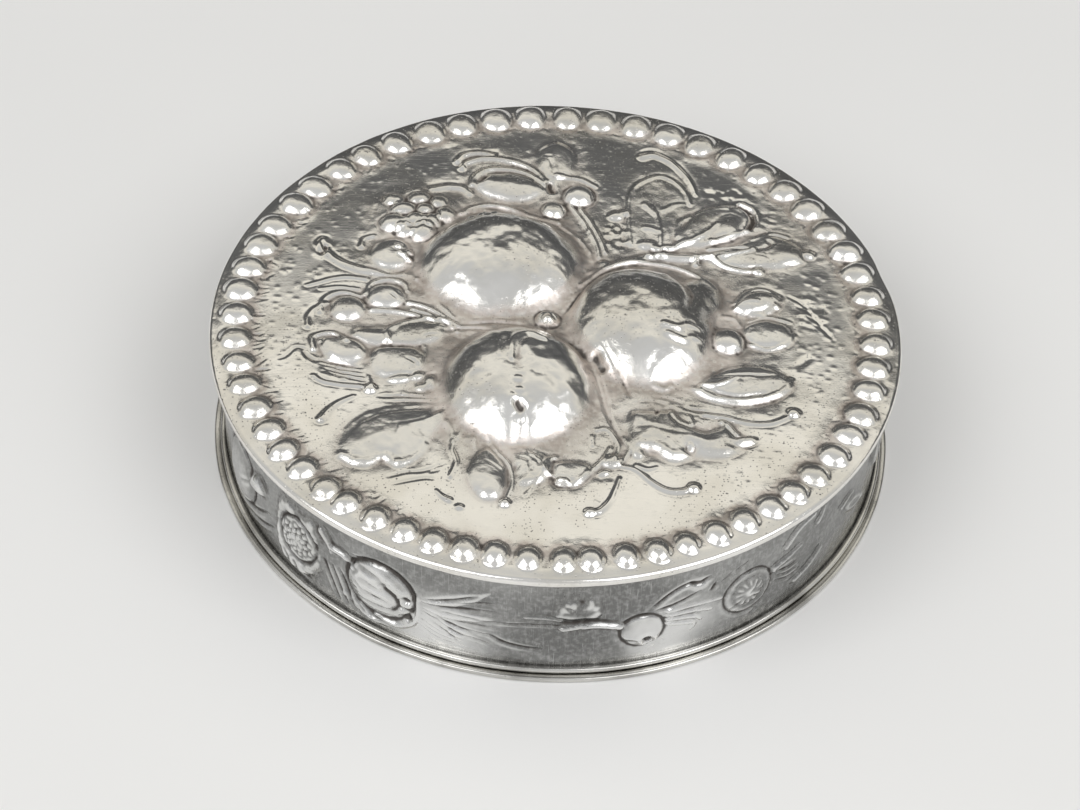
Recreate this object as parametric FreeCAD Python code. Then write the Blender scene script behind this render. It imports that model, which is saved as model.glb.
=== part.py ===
import FreeCAD
import Part
import math
import os

# A round hand-wrought silver box with an embossed pull-off lid, in millimetres.
# The origin is the centre of the underside, +Z is up, and the front of the lid's picture faces -Y.

# Body of the box
wall_radius = 43.4          # outside of the wall band
wall_sheet = 0.9            # thickness of the wall band
inside_height = 17.5        # from the floor of the box to the underside of the lid
base_sheet = 0.8            # thickness of the floor

# Foot moulding round the bottom of the wall
flange_overhang = 1.6       # how far the flat flange stands out past the wall
flange_height = 0.7
flange_bevel = 0.22         # eased outer edges of the flange
step_overhang = 0.8         # how far the wire above it stands out past the wall
step_height = 0.8
step_bevel = 0.25           # eased outer edges of the wire

# Lid
lid_sheet = 0.7             # thickness of the embossed sheet
rim_wire = 0.6              # square wire soldered inside the turned-down edge
rim_gap = 0.3               # air between that wire and the wall band
edge_round = 0.55           # rounding of the sheet's outer edge
bezel_sheet = 0.7           # thickness of the ring that plugs into the mouth
bezel_depth = 5.5
bezel_clearance = 0.1       # radial, between the bezel and the mouth
bezel_lead = 0.25           # chamfer that leads the bezel into the mouth

# Beads raised along the edge of the lid
bead_inset = 3.7            # from the edge of the lid to the middle of the beads
bead_pitch = 4.4            # mean step along the circle
bead_radius = 1.95          # mean radius
bead_unevenness = 0.11      # hand spacing: beads grow towards the back and shrink towards the front
bead_start = 1.7            # where the row begins, in beads from the right
bead_rise = 0.56            # height of a bead or berry, as a share of its radius

# Embossed fruit and leaves, drawn in a field of this radius and fitted to the field inside the beads
drawn_radius = 39.1
fruit_rise = 4.1            # height of the fruits above the ground of the lid
fruit_shoulder = 35.0       # latitude, on its ellipsoid, where a fruit meets the ground
leaf_rise = 0.5
leaf_bevel = 0.25           # chamfer round the top of a leaf
dome_skirt = 3.0            # degrees by which a dome runs on below the ground, into the sheet

# Fruits: centre x, centre y, half width, half depth, how far the top leans to the back, turn in degrees
fruits = [
    (-7.6, 9.9, 11.0, 9.7, 1.6, 0.0),
    (-4.5, -12.4, 9.8, 10.2, 1.3, 0.0),
    (11.2, -0.6, 9.6, 11.0, 0.6, 12.0),
]

# Berries and buds: centre x, centre y, radius
berries = [
    (-1.1, -0.2, 1.4),
    (2.0, 24.6, 2.0),
    (-1.6, 21.9, 1.5),
    (22.2, -2.6, 2.4),
    (18.8, 12.4, 1.2),
    (-15.6, 19.4, 1.6),
    (-18.4, 17.2, 1.6),
    (-17.9, 20.6, 1.7),
    (-20.9, 19.2, 1.7),
    (-20.2, 22.4, 1.6),
    (-23.4, 20.9, 1.5),
    (-22.8, 4.0, 2.0),
    (-27.2, 0.6, 2.2),
]

# Leaves: root x, root y, tip x, tip y, width
leaves = [
    (-1.0, 27.8, -0.4, 36.6, 5.6),
    (-3.0, 25.4, -12.4, 26.0, 3.8),
    (12.8, 14.6, 12.4, 29.4, 8.2),
    (17.6, 15.0, 25.6, 24.0, 6.6),
    (21.0, 13.0, 33.4, 15.0, 5.4),
    (23.2, 2.2, 29.4, 7.2, 4.0),
    (25.2, -1.6, 31.2, 0.6, 4.4),
    (18.6, -7.6, 30.4, -12.0, 6.0),
    (8.6, -16.2, 25.4, -20.4, 6.8),
    (1.6, -24.4, 5.8, -28.6, 4.2),
    (-6.0, -22.6, -8.6, -31.8, 5.6),
    (-13.0, -17.4, -26.0, -25.0, 7.0),
    (-14.6, -4.2, -30.6, -5.4, 5.0),
    (-15.0, -8.6, -29.4, -12.6, 5.0),
    (-19.8, 8.4, -25.2, 14.2, 4.8),
]

# Places that follow from the sizes above
floor_top = base_sheet
lid_under = floor_top + inside_height
lid_ground = lid_under + lid_sheet
mouth_radius = wall_radius - wall_sheet
bezel_outer = mouth_radius - bezel_clearance
bezel_inner = bezel_outer - bezel_sheet
wire_inner = wall_radius + rim_gap
wire_outer = wire_inner + rim_wire
lid_radius = wire_outer + lid_sheet
lid_edge_low = lid_under - rim_wire
bead_circle = lid_radius - bead_inset
bead_count = round(2 * math.pi * bead_circle / bead_pitch)
field_radius = bead_circle - bead_radius * (1 + bead_unevenness)
relief_scale = field_radius / drawn_radius

UP = FreeCAD.Vector(0, 0, 1)


def at(x, y, z):
    """A point."""
    return FreeCAD.Vector(x, y, z)


def disc(radius, low, high):
    """An upright disc round the Z axis, from one height to another."""
    return Part.makeCylinder(radius, high - low, at(0, 0, low))


def ring(inner, outer, low, high):
    """A ring of rectangular section round the Z axis."""
    return disc(outer, low, high).cut(disc(inner, low, high))


def edges_at(shape, radius, height):
    """The circular edges of a shape that have this radius and height."""
    found = []
    for edge in shape.Edges:
        if edge.Curve.TypeId != "Part::GeomCircle":
            continue
        same_radius = abs(edge.Curve.Radius - radius) < 1e-6
        same_height = abs(edge.Curve.Center.z - height) < 1e-6
        if same_radius and same_height:
            found.append(edge)
    return found


def stretched(ball, x, y, half_width, half_depth, rise, lean, turn):
    """A unit ball's cap, stretched so that it meets the ground in an ellipse and leans to the back."""
    base = math.cos(math.radians(fruit_shoulder))
    depth = math.sin(math.radians(fruit_shoulder))
    stretch = FreeCAD.Matrix()
    stretch.scale(half_width / base, half_depth / base, rise / (1 - depth))
    shape = ball.transformGeometry(stretch)
    shape.rotate(at(0, 0, 0), UP, turn)
    shape.translate(at(0, 0, -depth * rise / (1 - depth)))
    shear = FreeCAD.Matrix()
    shear.A23 = lean / rise
    shape = shape.transformGeometry(shear)
    shape.translate(at(x, y, lid_ground))
    return shape


def dome(x, y, half_width, half_depth, rise, lean, turn):
    """A fruit: the cap of an ellipsoid that stands on the lid's ground and runs a little way into the sheet."""
    ball = Part.makeSphere(1.0, at(0, 0, 0), UP, fruit_shoulder - dome_skirt, 90, 360)
    return stretched(ball, x, y, half_width, half_depth, rise, lean, turn)


def hollow(x, y, half_width, half_depth, rise, lean, turn):
    """The air that is hammered up behind a fruit, one sheet thickness inside it."""
    ball = Part.makeSphere(1.0, at(0, 0, 0), UP, 0, 90, 360)
    return stretched(ball, x, y, half_width - lid_sheet, half_depth - lid_sheet, rise - lid_sheet, lean, turn)


def cap_ball(radius):
    """Radius of the ball that a bead is a cap of, and how deep its middle lies under the ground."""
    height = bead_rise * radius
    ball = (radius**2 + height**2) / (2 * height)
    return ball, ball - height


def round_dome(x, y, radius):
    """A bead or berry: the cap of a ball that stands on the lid's ground and runs a little way into the sheet."""
    ball, depth = cap_ball(radius)
    low = math.degrees(math.asin(depth / ball)) - dome_skirt
    return Part.makeSphere(ball, at(x, y, lid_ground - depth), UP, low, 90, 360)


def round_hollow(x, y, radius):
    """The air that is hammered up behind a bead."""
    ball, depth = cap_ball(radius)
    return Part.makeSphere(ball - lid_sheet, at(x, y, lid_ground - depth))


def leaf(root_x, root_y, tip_x, tip_y, width):
    """A pointed leaf between two arcs, raised from the ground, with a bevel round its top."""
    root = at(root_x, root_y, lid_under)
    tip = at(tip_x, tip_y, lid_under)
    middle = (root + tip) * 0.5
    along = tip - root
    along.normalize()
    side = UP.cross(along) * (width / 2)
    one = Part.Arc(root, middle + side, tip).toShape()
    other = Part.Arc(tip, middle - side, root).toShape()
    face = Part.Face(Part.Wire([one, other]))
    body = face.extrude(UP * (lid_sheet + leaf_rise))
    top = [edge for edge in body.Edges if edge.BoundBox.ZMin > lid_ground]
    return body.makeChamfer(min(leaf_bevel, leaf_rise / 2), top)


def bead_places():
    """Centre x, centre y and radius of every bead, with the pitch opening towards the back."""
    places = []
    for index in range(bead_count):
        even = 2 * math.pi * (index + bead_start) / bead_count
        angle = even - bead_unevenness * math.cos(even)
        radius = bead_radius * (1 + bead_unevenness * math.sin(even))
        places.append((bead_circle * math.cos(angle), bead_circle * math.sin(angle), radius))
    return places


def scaled(row, turn_last=False):
    """A row of the relief's drawing, fitted to the lid's field. A last value that is an angle stays as it is."""
    if turn_last:
        return [value * relief_scale for value in row[:-1]] + [row[-1]]
    return [value * relief_scale for value in row]


def make_lid_plate():
    """The embossed sheet: ground, turned-down edge, hollow beads, hollow fruits, berries and leaves."""
    sheet = disc(lid_radius, lid_edge_low, lid_ground)
    sheet = sheet.makeFillet(min(edge_round, lid_sheet * 0.9), edges_at(sheet, lid_radius, lid_ground))
    sheet = sheet.cut(disc(lid_radius - lid_sheet, lid_edge_low, lid_under))
    raised = []
    hollows = []
    for x, y, radius in bead_places():
        raised.append(round_dome(x, y, radius))
        hollows.append(round_hollow(x, y, radius))
    for row in fruits:
        x, y, half_width, half_depth, lean, turn = scaled(row, turn_last=True)
        raised.append(dome(x, y, half_width, half_depth, fruit_rise, lean, turn))
        hollows.append(hollow(x, y, half_width, half_depth, fruit_rise, lean, turn))
    for row in berries:
        raised.append(round_dome(*scaled(row)))
    for row in leaves:
        raised.append(leaf(*scaled(row)))
    return sheet.fuse(raised).cut(hollows)


def make_lid_bezel():
    """The ring under the lid that plugs into the mouth, with a lead-in at its lower edge."""
    low = lid_under - bezel_depth
    shape = ring(bezel_inner, bezel_outer, low, lid_under)
    return shape.makeChamfer(min(bezel_lead, bezel_sheet / 2), edges_at(shape, bezel_outer, low))


def eased_ring(overhang, low, high, bevel):
    """A ring that sits against the wall and stands out past it, with both of its outer edges eased."""
    outer = wall_radius + overhang
    shape = ring(wall_radius, outer, low, high)
    edges = edges_at(shape, outer, low) + edges_at(shape, outer, high)
    return shape.makeChamfer(min(bevel, (high - low) * 0.45, overhang * 0.9), edges)


pieces = {
    "lid_plate": make_lid_plate(),
    "lid_rim_wire": ring(wire_inner, wire_outer, lid_edge_low, lid_under),
    "lid_bezel": make_lid_bezel(),
    "wall_band": ring(mouth_radius, wall_radius, floor_top, lid_under),
    "base_plate": disc(wall_radius, 0, floor_top),
    "foot_flange": eased_ring(flange_overhang, 0, flange_height, flange_bevel),
    "foot_step_wire": eased_ring(step_overhang, flange_height, flange_height + step_height, step_bevel),
}

os.makedirs("parts", exist_ok=True)
for name, shape in pieces.items():
    shape.exportStep(os.path.join("parts", name + ".step"))
    print(name, "valid", shape.isValid(), "solids", len(shape.Solids), "volume %.1f" % shape.Volume)
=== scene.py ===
"""Looks of a round silver box: an embossed pull-off lid, a chased wall and a stepped foot.

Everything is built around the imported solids, in metres. Relief is drawn in millimetres on even rasters,
pressed up motif by motif as a silversmith would, and then sampled by the meshes.
"""

import logging
import math
from dataclasses import dataclass, field
from enum import Enum

import bpy
import numpy as np
from mathutils import Matrix, Vector


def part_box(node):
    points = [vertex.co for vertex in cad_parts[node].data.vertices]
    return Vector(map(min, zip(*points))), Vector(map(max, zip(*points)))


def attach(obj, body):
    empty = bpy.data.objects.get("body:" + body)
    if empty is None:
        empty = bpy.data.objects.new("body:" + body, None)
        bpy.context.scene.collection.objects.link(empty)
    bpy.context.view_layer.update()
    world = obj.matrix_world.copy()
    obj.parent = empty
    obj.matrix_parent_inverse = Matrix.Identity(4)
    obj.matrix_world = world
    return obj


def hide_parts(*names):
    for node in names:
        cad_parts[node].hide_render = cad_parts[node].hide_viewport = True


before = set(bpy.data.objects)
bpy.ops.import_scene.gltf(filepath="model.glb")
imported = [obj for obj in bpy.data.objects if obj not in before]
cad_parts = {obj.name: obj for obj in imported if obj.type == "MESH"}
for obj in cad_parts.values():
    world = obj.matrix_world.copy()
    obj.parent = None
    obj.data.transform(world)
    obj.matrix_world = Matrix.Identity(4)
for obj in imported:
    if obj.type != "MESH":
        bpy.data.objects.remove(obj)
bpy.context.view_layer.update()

LOG = logging.getLogger("silver_box")
MM = 0.001
SEED = 1687

Grid = np.ndarray
Piece = bpy.types.Object
Point = tuple[float, float]


class Body(Enum):
    """The rigid bodies that pieces ride on."""

    LID = "lid"
    BOX = "box"


class Slot(Enum):
    """The record's material slots that the new pieces take."""

    EMBOSSED = "embossed_silver"
    CHASED = "chased_silver"
    WIRE = "wire_silver"


# Curves and distances


def smooth_line(points: list[Point], closed: bool = False, per_span: int = 10) -> Grid:
    """Draw a smooth line through a few points.

    Args:
        points: The points that the line passes through, in order.
        closed: Whether the line returns to its first point.
        per_span: How many short steps make up the stretch between two points.

    Returns:
        The points of the line, one row each.
    """
    knots = np.asarray(points, float)
    if closed:
        ring = np.vstack([knots[-1], knots, knots[0], knots[1]])
    else:
        ring = np.vstack([2 * knots[0] - knots[1], knots, 2 * knots[-1] - knots[-2]])
    steps = np.linspace(0.0, 1.0, per_span, endpoint=False)[:, None]
    rows = []
    for before, start, end, after in zip(ring[:-3], ring[1:-2], ring[2:-1], ring[3:]):
        bend = 2 * start + (end - before) * steps
        bend += (2 * before - 5 * start + 4 * end - after) * steps**2
        bend += (3 * start - before - 3 * end + after) * steps**3
        rows.append(bend / 2)
    rows.append(knots[:1] if closed else knots[-1:])
    return np.vstack(rows)


def line_distance(line: Grid, x: Grid, y: Grid) -> tuple[Grid, Grid]:
    """Measure how far raster points lie from a line.

    Args:
        line: The line's points, one row each.
        x: First coordinate of the raster points.
        y: Second coordinate of the raster points.

    Returns:
        The distance of each raster point, and how far along the line its nearest place is, from 0 to 1.
    """
    nearest = np.full(x.shape, np.inf)
    along = np.zeros(x.shape)
    spans = len(line) - 1
    for index in range(spans):
        (ax, ay), (bx, by) = line[index], line[index + 1]
        dx, dy = bx - ax, by - ay
        length = max(dx * dx + dy * dy, 1e-12)
        share = np.clip(((x - ax) * dx + (y - ay) * dy) / length, 0.0, 1.0)
        far = (x - ax - share * dx) ** 2 + (y - ay - share * dy) ** 2
        closer = far < nearest
        nearest = np.where(closer, far, nearest)
        along = np.where(closer, (index + share) / spans, along)
    return np.sqrt(nearest), along


def inside_line(line: Grid, x: Grid, y: Grid) -> Grid:
    """Find the raster points inside a closed line.

    Args:
        line: The closed line's points, one row each.
        x: First coordinate of the raster points.
        y: Second coordinate of the raster points.

    Returns:
        True where a raster point is inside.
    """
    inside = np.zeros(x.shape, bool)
    for (ax, ay), (bx, by) in zip(line[:-1], line[1:]):
        if ay == by:
            continue
        crosses = (ay > y) != (by > y)
        inside ^= crosses & (x < (bx - ax) * (y - ay) / (by - ay) + ax)
    return inside


def smooth_step(low: float, high: float, value: Grid | float) -> Grid | float:
    """Ease from 0 to 1 as a value goes from low to high."""
    share = np.clip((value - low) / (high - low), 0.0, 1.0)
    return share * share * (3 - 2 * share)


# The raster that motifs are pressed into


@dataclass
class ReliefMap:
    """Heights in millimetres over a flat field, on an even raster.

    Attributes:
        low: Lowest corner of the field.
        high: Highest corner of the field.
        step: Distance between raster points.
    """

    low: Point
    high: Point
    step: float

    def __post_init__(self) -> None:
        """Lay out the raster, flat and clean."""
        across = np.arange(self.low[0], self.high[0] + self.step / 2, self.step)
        upward = np.arange(self.low[1], self.high[1] + self.step / 2, self.step)
        self.x, self.y = np.meshgrid(across, upward)
        self.height = np.zeros(self.x.shape)
        self.stain = np.zeros(self.x.shape)
        self.haze = np.zeros(self.x.shape)
        self.satin = np.zeros(self.x.shape)

    def window(self, line: Grid, margin: float) -> tuple[slice, slice] | None:
        """Find the part of the raster around a line.

        Args:
            line: The line's points, one row each.
            margin: How far past the line the part reaches.

        Returns:
            The rows and columns, or nothing where the line lies off the field.
        """
        low = np.floor((line.min(0) - margin - self.low) / self.step).astype(int)
        high = np.ceil((line.max(0) + margin - self.low) / self.step).astype(int) + 1
        low = np.maximum(low, 0)
        high = np.minimum(high, self.x.shape[::-1])
        if (high <= low).any():
            return None
        return slice(low[1], high[1]), slice(low[0], high[0])

    def blurred(self, grid: Grid, reach: float) -> Grid:
        """Smooth a raster with a bell of this width in millimetres.

        Args:
            grid: The raster to smooth.
            reach: Standard width of the bell.

        Returns:
            The smoothed raster.
        """
        rows = np.fft.fftfreq(grid.shape[0], self.step)[:, None]
        columns = np.fft.rfftfreq(grid.shape[1], self.step)[None, :]
        bell = np.exp(-2 * (math.pi * reach) ** 2 * (rows**2 + columns**2))
        return np.fft.irfft2(np.fft.rfft2(grid) * bell, grid.shape)

    def lowest_near(self, grid: Grid, reach: float) -> Grid:
        """Take the lowest height within a square of this half width round each raster point.

        Args:
            grid: The raster to read.
            reach: Half width of the square in millimetres.

        Returns:
            The raster of lowest heights.
        """
        lowest = grid.copy()
        for axis in (0, 1):
            source = lowest.copy()
            for shift in range(1, round(reach / self.step) + 1):
                lowest = np.minimum(lowest, np.roll(source, shift, axis))
                lowest = np.minimum(lowest, np.roll(source, -shift, axis))
        return lowest

    def standing_out(self, reach: float) -> Grid:
        """How far each raster point stands above its neighbourhood of this width in millimetres."""
        return self.height - self.blurred(self.height, reach)

    def hollows(self, reach: float, start: float, span: float) -> Grid:
        """Mark, from 0 to 1, what lies deeper in its neighbourhood than a start, in full after a span."""
        return np.clip((-self.standing_out(reach) - start) / span, 0, 1)

    def noise(self, reach: float, seed: int) -> Grid:
        """Make soft random waves of unit strength and of this width in millimetres."""
        waves = self.blurred(np.random.default_rng(SEED + seed).normal(size=self.x.shape), reach)
        return waves / waves.std()

    def specks(self, count: int, reach: float, seed: int, where: Grid) -> Grid:
        """Scatter small round specks of strength 1.

        Args:
            count: How many specks to scatter over the whole raster.
            reach: Width of a speck in millimetres.
            seed: Number that fixes their places.
            where: Raster of how likely a speck is kept, from 0 to 1.

        Returns:
            The raster of specks.
        """
        draw = np.random.default_rng(SEED + seed)
        rows = draw.integers(0, self.x.shape[0], count)
        columns = draw.integers(0, self.x.shape[1], count)
        kept = draw.random(count) < where[rows, columns]
        spots = np.zeros(self.x.shape)
        spots[rows[kept], columns[kept]] = draw.uniform(0.5, 1.0, kept.sum())
        return self.blurred(spots, reach) * 2 * math.pi * (reach / self.step) ** 2

    def sample(self, grid: Grid, x: Grid, y: Grid) -> Grid:
        """Read a raster between its points.

        Args:
            grid: The raster to read.
            x: First coordinates in millimetres.
            y: Second coordinates in millimetres.

        Returns:
            The values there.
        """
        column = np.clip((x - self.low[0]) / self.step, 0, self.x.shape[1] - 1.001)
        row = np.clip((y - self.low[1]) / self.step, 0, self.x.shape[0] - 1.001)
        left, below = column.astype(int), row.astype(int)
        right_share, upper_share = column - left, row - below
        lower = grid[below, left] * (1 - right_share) + grid[below, left + 1] * right_share
        upper = grid[below + 1, left] * (1 - right_share) + grid[below + 1, left + 1] * right_share
        return lower * (1 - upper_share) + upper * upper_share


# Motifs, each pressed into a relief map by one kind of tool

LEAN_ROUNDS = 6                 # rounds that settle where a leaning dome's surface is
STEEPEST = math.radians(85)     # steepest flank of a dome
STEEPEST_FOOT = 1.2             # steepest run of a dome into the ground, in radians


def blend_up(old: Grid, new: Grid, reach: float) -> Grid:
    """Take the higher of two heights and fill the corner between them with a soft fillet."""
    near = np.clip(1 - np.abs(old - new) / reach, 0, None)
    return np.maximum(old, new) + near * near * reach / 4


@dataclass
class Dome:
    """A round form hammered up from behind, such as a fruit, with a chased line round its foot.

    Attributes:
        x: Centre to the right.
        y: Centre away from the front.
        half_width: Half of its width.
        half_depth: Half of its depth.
        rise: Height of its top.
        turn: Angle of its width, in degrees.
        fullness: How broad its top is; 2 is part of a ball.
        chase: Depth of the line round its foot.
        chase_width: Width of that line.
        fillet: How softly it runs into what lies round it.
        added: Whether it sits on what lies under it.
        lean: How far its top stands from its middle, to the right and away from the front.
    """

    x: float
    y: float
    half_width: float
    half_depth: float
    rise: float
    turn: float = 0.0
    fullness: float = 2.6
    chase: float = 0.03
    chase_width: float = 0.3
    fillet: float = 0.35
    added: bool = False
    lean: Point = (0.0, 0.0)

    def _share(self, x: Grid, y: Grid) -> Grid:
        """Measure how far points lie from the middle.

        Args:
            x: Distances to the right of the middle.
            y: Distances behind the middle.

        Returns:
            The share of the way to the foot, which is at 1.
        """
        turn = math.radians(self.turn)
        wide = (x * math.cos(turn) + y * math.sin(turn)) / self.half_width
        deep = (y * math.cos(turn) - x * math.sin(turn)) / self.half_depth
        return np.hypot(wide, deep)

    def press(self, relief: ReliefMap) -> None:
        """Raise the dome out of the relief and cut the line round it.

        Args:
            relief: The relief to work on.
        """
        reach = max(self.half_width, self.half_depth)
        corners = np.array([[self.x - reach, self.y - reach], [self.x + reach, self.y + reach]])
        part = relief.window(corners, 4 * self.chase_width + 2 * self.fillet)
        if part is None:
            return
        x, y = relief.x[part] - self.x, relief.y[part] - self.y
        share = self._share(x, y)
        for _ in range(LEAN_ROUNDS if any(self.lean) else 0):
            back = np.clip(1 - share, 0, 1)
            share = self._share(x - back * self.lean[0], y - back * self.lean[1])
        size = math.sqrt(self.half_width * self.half_depth)
        steep = min(2 * math.atan(self.rise / size), STEEPEST)
        ball = size / math.sin(steep)
        away = size * np.minimum(share, 1) ** (self.fullness / 2)
        past = np.clip(share - 1, 0, None) * size
        run = math.tan(min(steep, STEEPEST_FOOT)) * past
        top = np.sqrt(ball**2 - away**2) - ball * math.cos(steep) - run
        cut = self.chase * np.exp(-((past / self.chase_width) ** 2)) * (share > 1)
        old = relief.height[part]
        raised = old + np.clip(top, 0, None) if self.added else blend_up(old, top, self.fillet)
        relief.height[part] = raised - cut


@dataclass
class Leaf:
    """A leaf or petal with a free outline, raised from the ground.

    Attributes:
        outline: Points of its edge, in order.
        rise: Height of its body.
        hollow: How deep its middle is dished below the rise.
        crown: How far its middle swells above the rise.
        lean: Slope of its surface to the right and away from the front.
        edge: Width over which its edge falls to the ground.
        chase: Depth of the line round it.
        chase_width: Width of that line.
        frill: Height of small waves along its edge.
        frills: How many waves each point of the outline has.
        frill_reach: How far the waves run in from the edge.
        skirt: How far past its outline the edge reaches the ground.
        fillet: How softly it runs into what lies round it.
    """

    outline: list[Point]
    rise: float
    hollow: float = 0.0
    crown: float = 0.0
    lean: Point = (0.0, 0.0)
    edge: float = 1.0
    chase: float = 0.03
    chase_width: float = 0.3
    frill: float = 0.0
    frills: float = 1.7
    frill_reach: float = 0.9
    skirt: float = 0.4
    fillet: float = 0.15

    def press(self, relief: ReliefMap) -> None:
        """Raise the leaf out of the relief and cut the line round it.

        Args:
            relief: The relief to work on.
        """
        line = smooth_line(self.outline, closed=True, per_span=6)
        part = relief.window(line, 4 * self.chase_width + 0.5)
        if part is None:
            return
        x, y = relief.x[part], relief.y[part]
        away, along = line_distance(line, x, y)
        inside = inside_line(line, x, y)
        middle = line.mean(0)
        depth = np.clip(away / max(away[inside].max(initial=0.0), 0.1), 0, 1)
        top = self.rise + self.crown * np.sin(math.pi / 2 * depth)
        top -= self.hollow * smooth_step(0.2, 0.9, depth)
        top += self.lean[0] * (x - middle[0]) + self.lean[1] * (y - middle[1])
        waves = np.sin(along * 2 * math.pi * self.frills * len(self.outline))
        top += self.frill * waves * np.exp(-away / self.frill_reach)
        shore = np.where(inside, away, -away)
        top *= smooth_step(-self.skirt, self.edge, shore)
        cut = self.chase * np.exp(-((away / self.chase_width) ** 2))
        old = relief.height[part]
        raised = np.where(shore > -self.skirt, blend_up(old, top, self.fillet), old)
        relief.height[part] = raised - cut * ~inside


@dataclass
class Ridge:
    """A raised line such as a tendril, a stem or a leaf's rolled edge, which may end in a ball.

    Attributes:
        points: Points along its middle.
        width: Half of its width at the start, a little above the ground.
        height: Height at the start.
        end: Width and height at its end, as a share of those at the start.
        ball: Radius of the ball at its end.
        chase: Depth of the lines along both sides.
        chase_width: Width of those lines.
        spread: Half of its width at the ground, as a share of that.
        ball_rise: Height of the ball, as a share of its radius.
    """

    points: list[Point]
    width: float
    height: float
    end: float = 0.7
    ball: float = 0.0
    chase: float = 0.02
    chase_width: float = 0.3
    spread: float = 1.4
    ball_rise: float = 0.5

    def press(self, relief: ReliefMap) -> None:
        """Lay the raised line on the relief.

        Args:
            relief: The relief to work on.
        """
        line = smooth_line(self.points)
        part = relief.window(line, 2 * self.width + self.ball + 3 * self.chase_width)
        if part is None:
            return
        away, along = line_distance(line, relief.x[part], relief.y[part])
        taper = 1 + (self.end - 1) * along
        foot = self.spread * self.width * taper
        share = np.minimum(away / foot, 1)
        body = self.height * taper * (0.5 + 0.5 * np.cos(math.pi * share))
        outside = np.clip(away - foot, 0, None)
        cut = self.chase * np.exp(-((outside / self.chase_width) ** 2)) * (share >= 1)
        relief.height[part] += body - cut
        if self.ball:
            tip_x, tip_y = line[-1]
            rise = self.ball * self.ball_rise
            Dome(tip_x, tip_y, self.ball, self.ball, rise, chase_width=0.2).press(relief)


@dataclass
class Groove:
    """A chased line, cut down from the front.

    Attributes:
        points: Points along it.
        width: Width of the cut.
        depth: Depth of the cut at its middle.
        blunt: Whether the cut keeps its depth to both ends.
        lip: Height of the metal pushed up beside the cut, as a share of its depth.
        lip_away: How far that metal lies from the middle of the cut, as a share of its width.
    """

    points: list[Point]
    width: float
    depth: float
    blunt: bool = False
    lip: float = 0.2
    lip_away: float = 2.0

    def press(self, relief: ReliefMap) -> None:
        """Cut the line into the relief.

        Args:
            relief: The relief to cut into.
        """
        line = smooth_line(self.points)
        part = relief.window(line, 5 * self.width)
        if part is None:
            return
        away, along = line_distance(line, relief.x[part], relief.y[part])
        taper = 1.0 if self.blunt else np.sqrt(np.sin(math.pi * np.clip(along, 0.02, 0.98)))
        pushed = self.lip * np.exp(-((away / self.width - self.lip_away) ** 2))
        relief.height[part] -= self.depth * taper * (np.exp(-((away / self.width) ** 2)) - pushed)


@dataclass
class Stipple:
    """A patch roughened with a small round punch.

    Attributes:
        x: Centre to the right.
        y: Centre away from the front.
        half_width: Half of the patch's width.
        half_depth: Half of the patch's depth.
        depth: Height of the roughness.
        grain: Width of one mark.
    """

    x: float
    y: float
    half_width: float
    half_depth: float
    depth: float
    grain: float

    def press(self, relief: ReliefMap) -> None:
        """Roughen the patch, with marks that its place fixes.

        Args:
            relief: The relief to work on.
        """
        share = np.hypot((relief.x - self.x) / self.half_width, (relief.y - self.y) / self.half_depth)
        fade = 1 - smooth_step(0.6, 1.0, share)
        marks = relief.noise(self.grain, round(self.x * 7 + self.y * 3))
        relief.height += self.depth * fade * marks


Motif = Dome | Leaf | Ridge | Groove | Stipple


def press_all(motifs: list[Motif], relief: ReliefMap) -> None:
    """Press motifs into a relief map, in their order."""
    for motif in motifs:
        motif.press(relief)


# Meshes


def round_points(reach: Grid | float, angle: Grid, level: Grid) -> Grid:
    """Place points round the upright axis.

    Args:
        reach: Distances from the axis in millimetres.
        angle: Angles from the right.
        level: Heights in millimetres.

    Returns:
        The points in metres, with their three coordinates last.
    """
    x, y = reach * np.cos(angle), reach * np.sin(angle)
    return np.stack(np.broadcast_arrays(x, y, level), axis=-1) * MM


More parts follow.
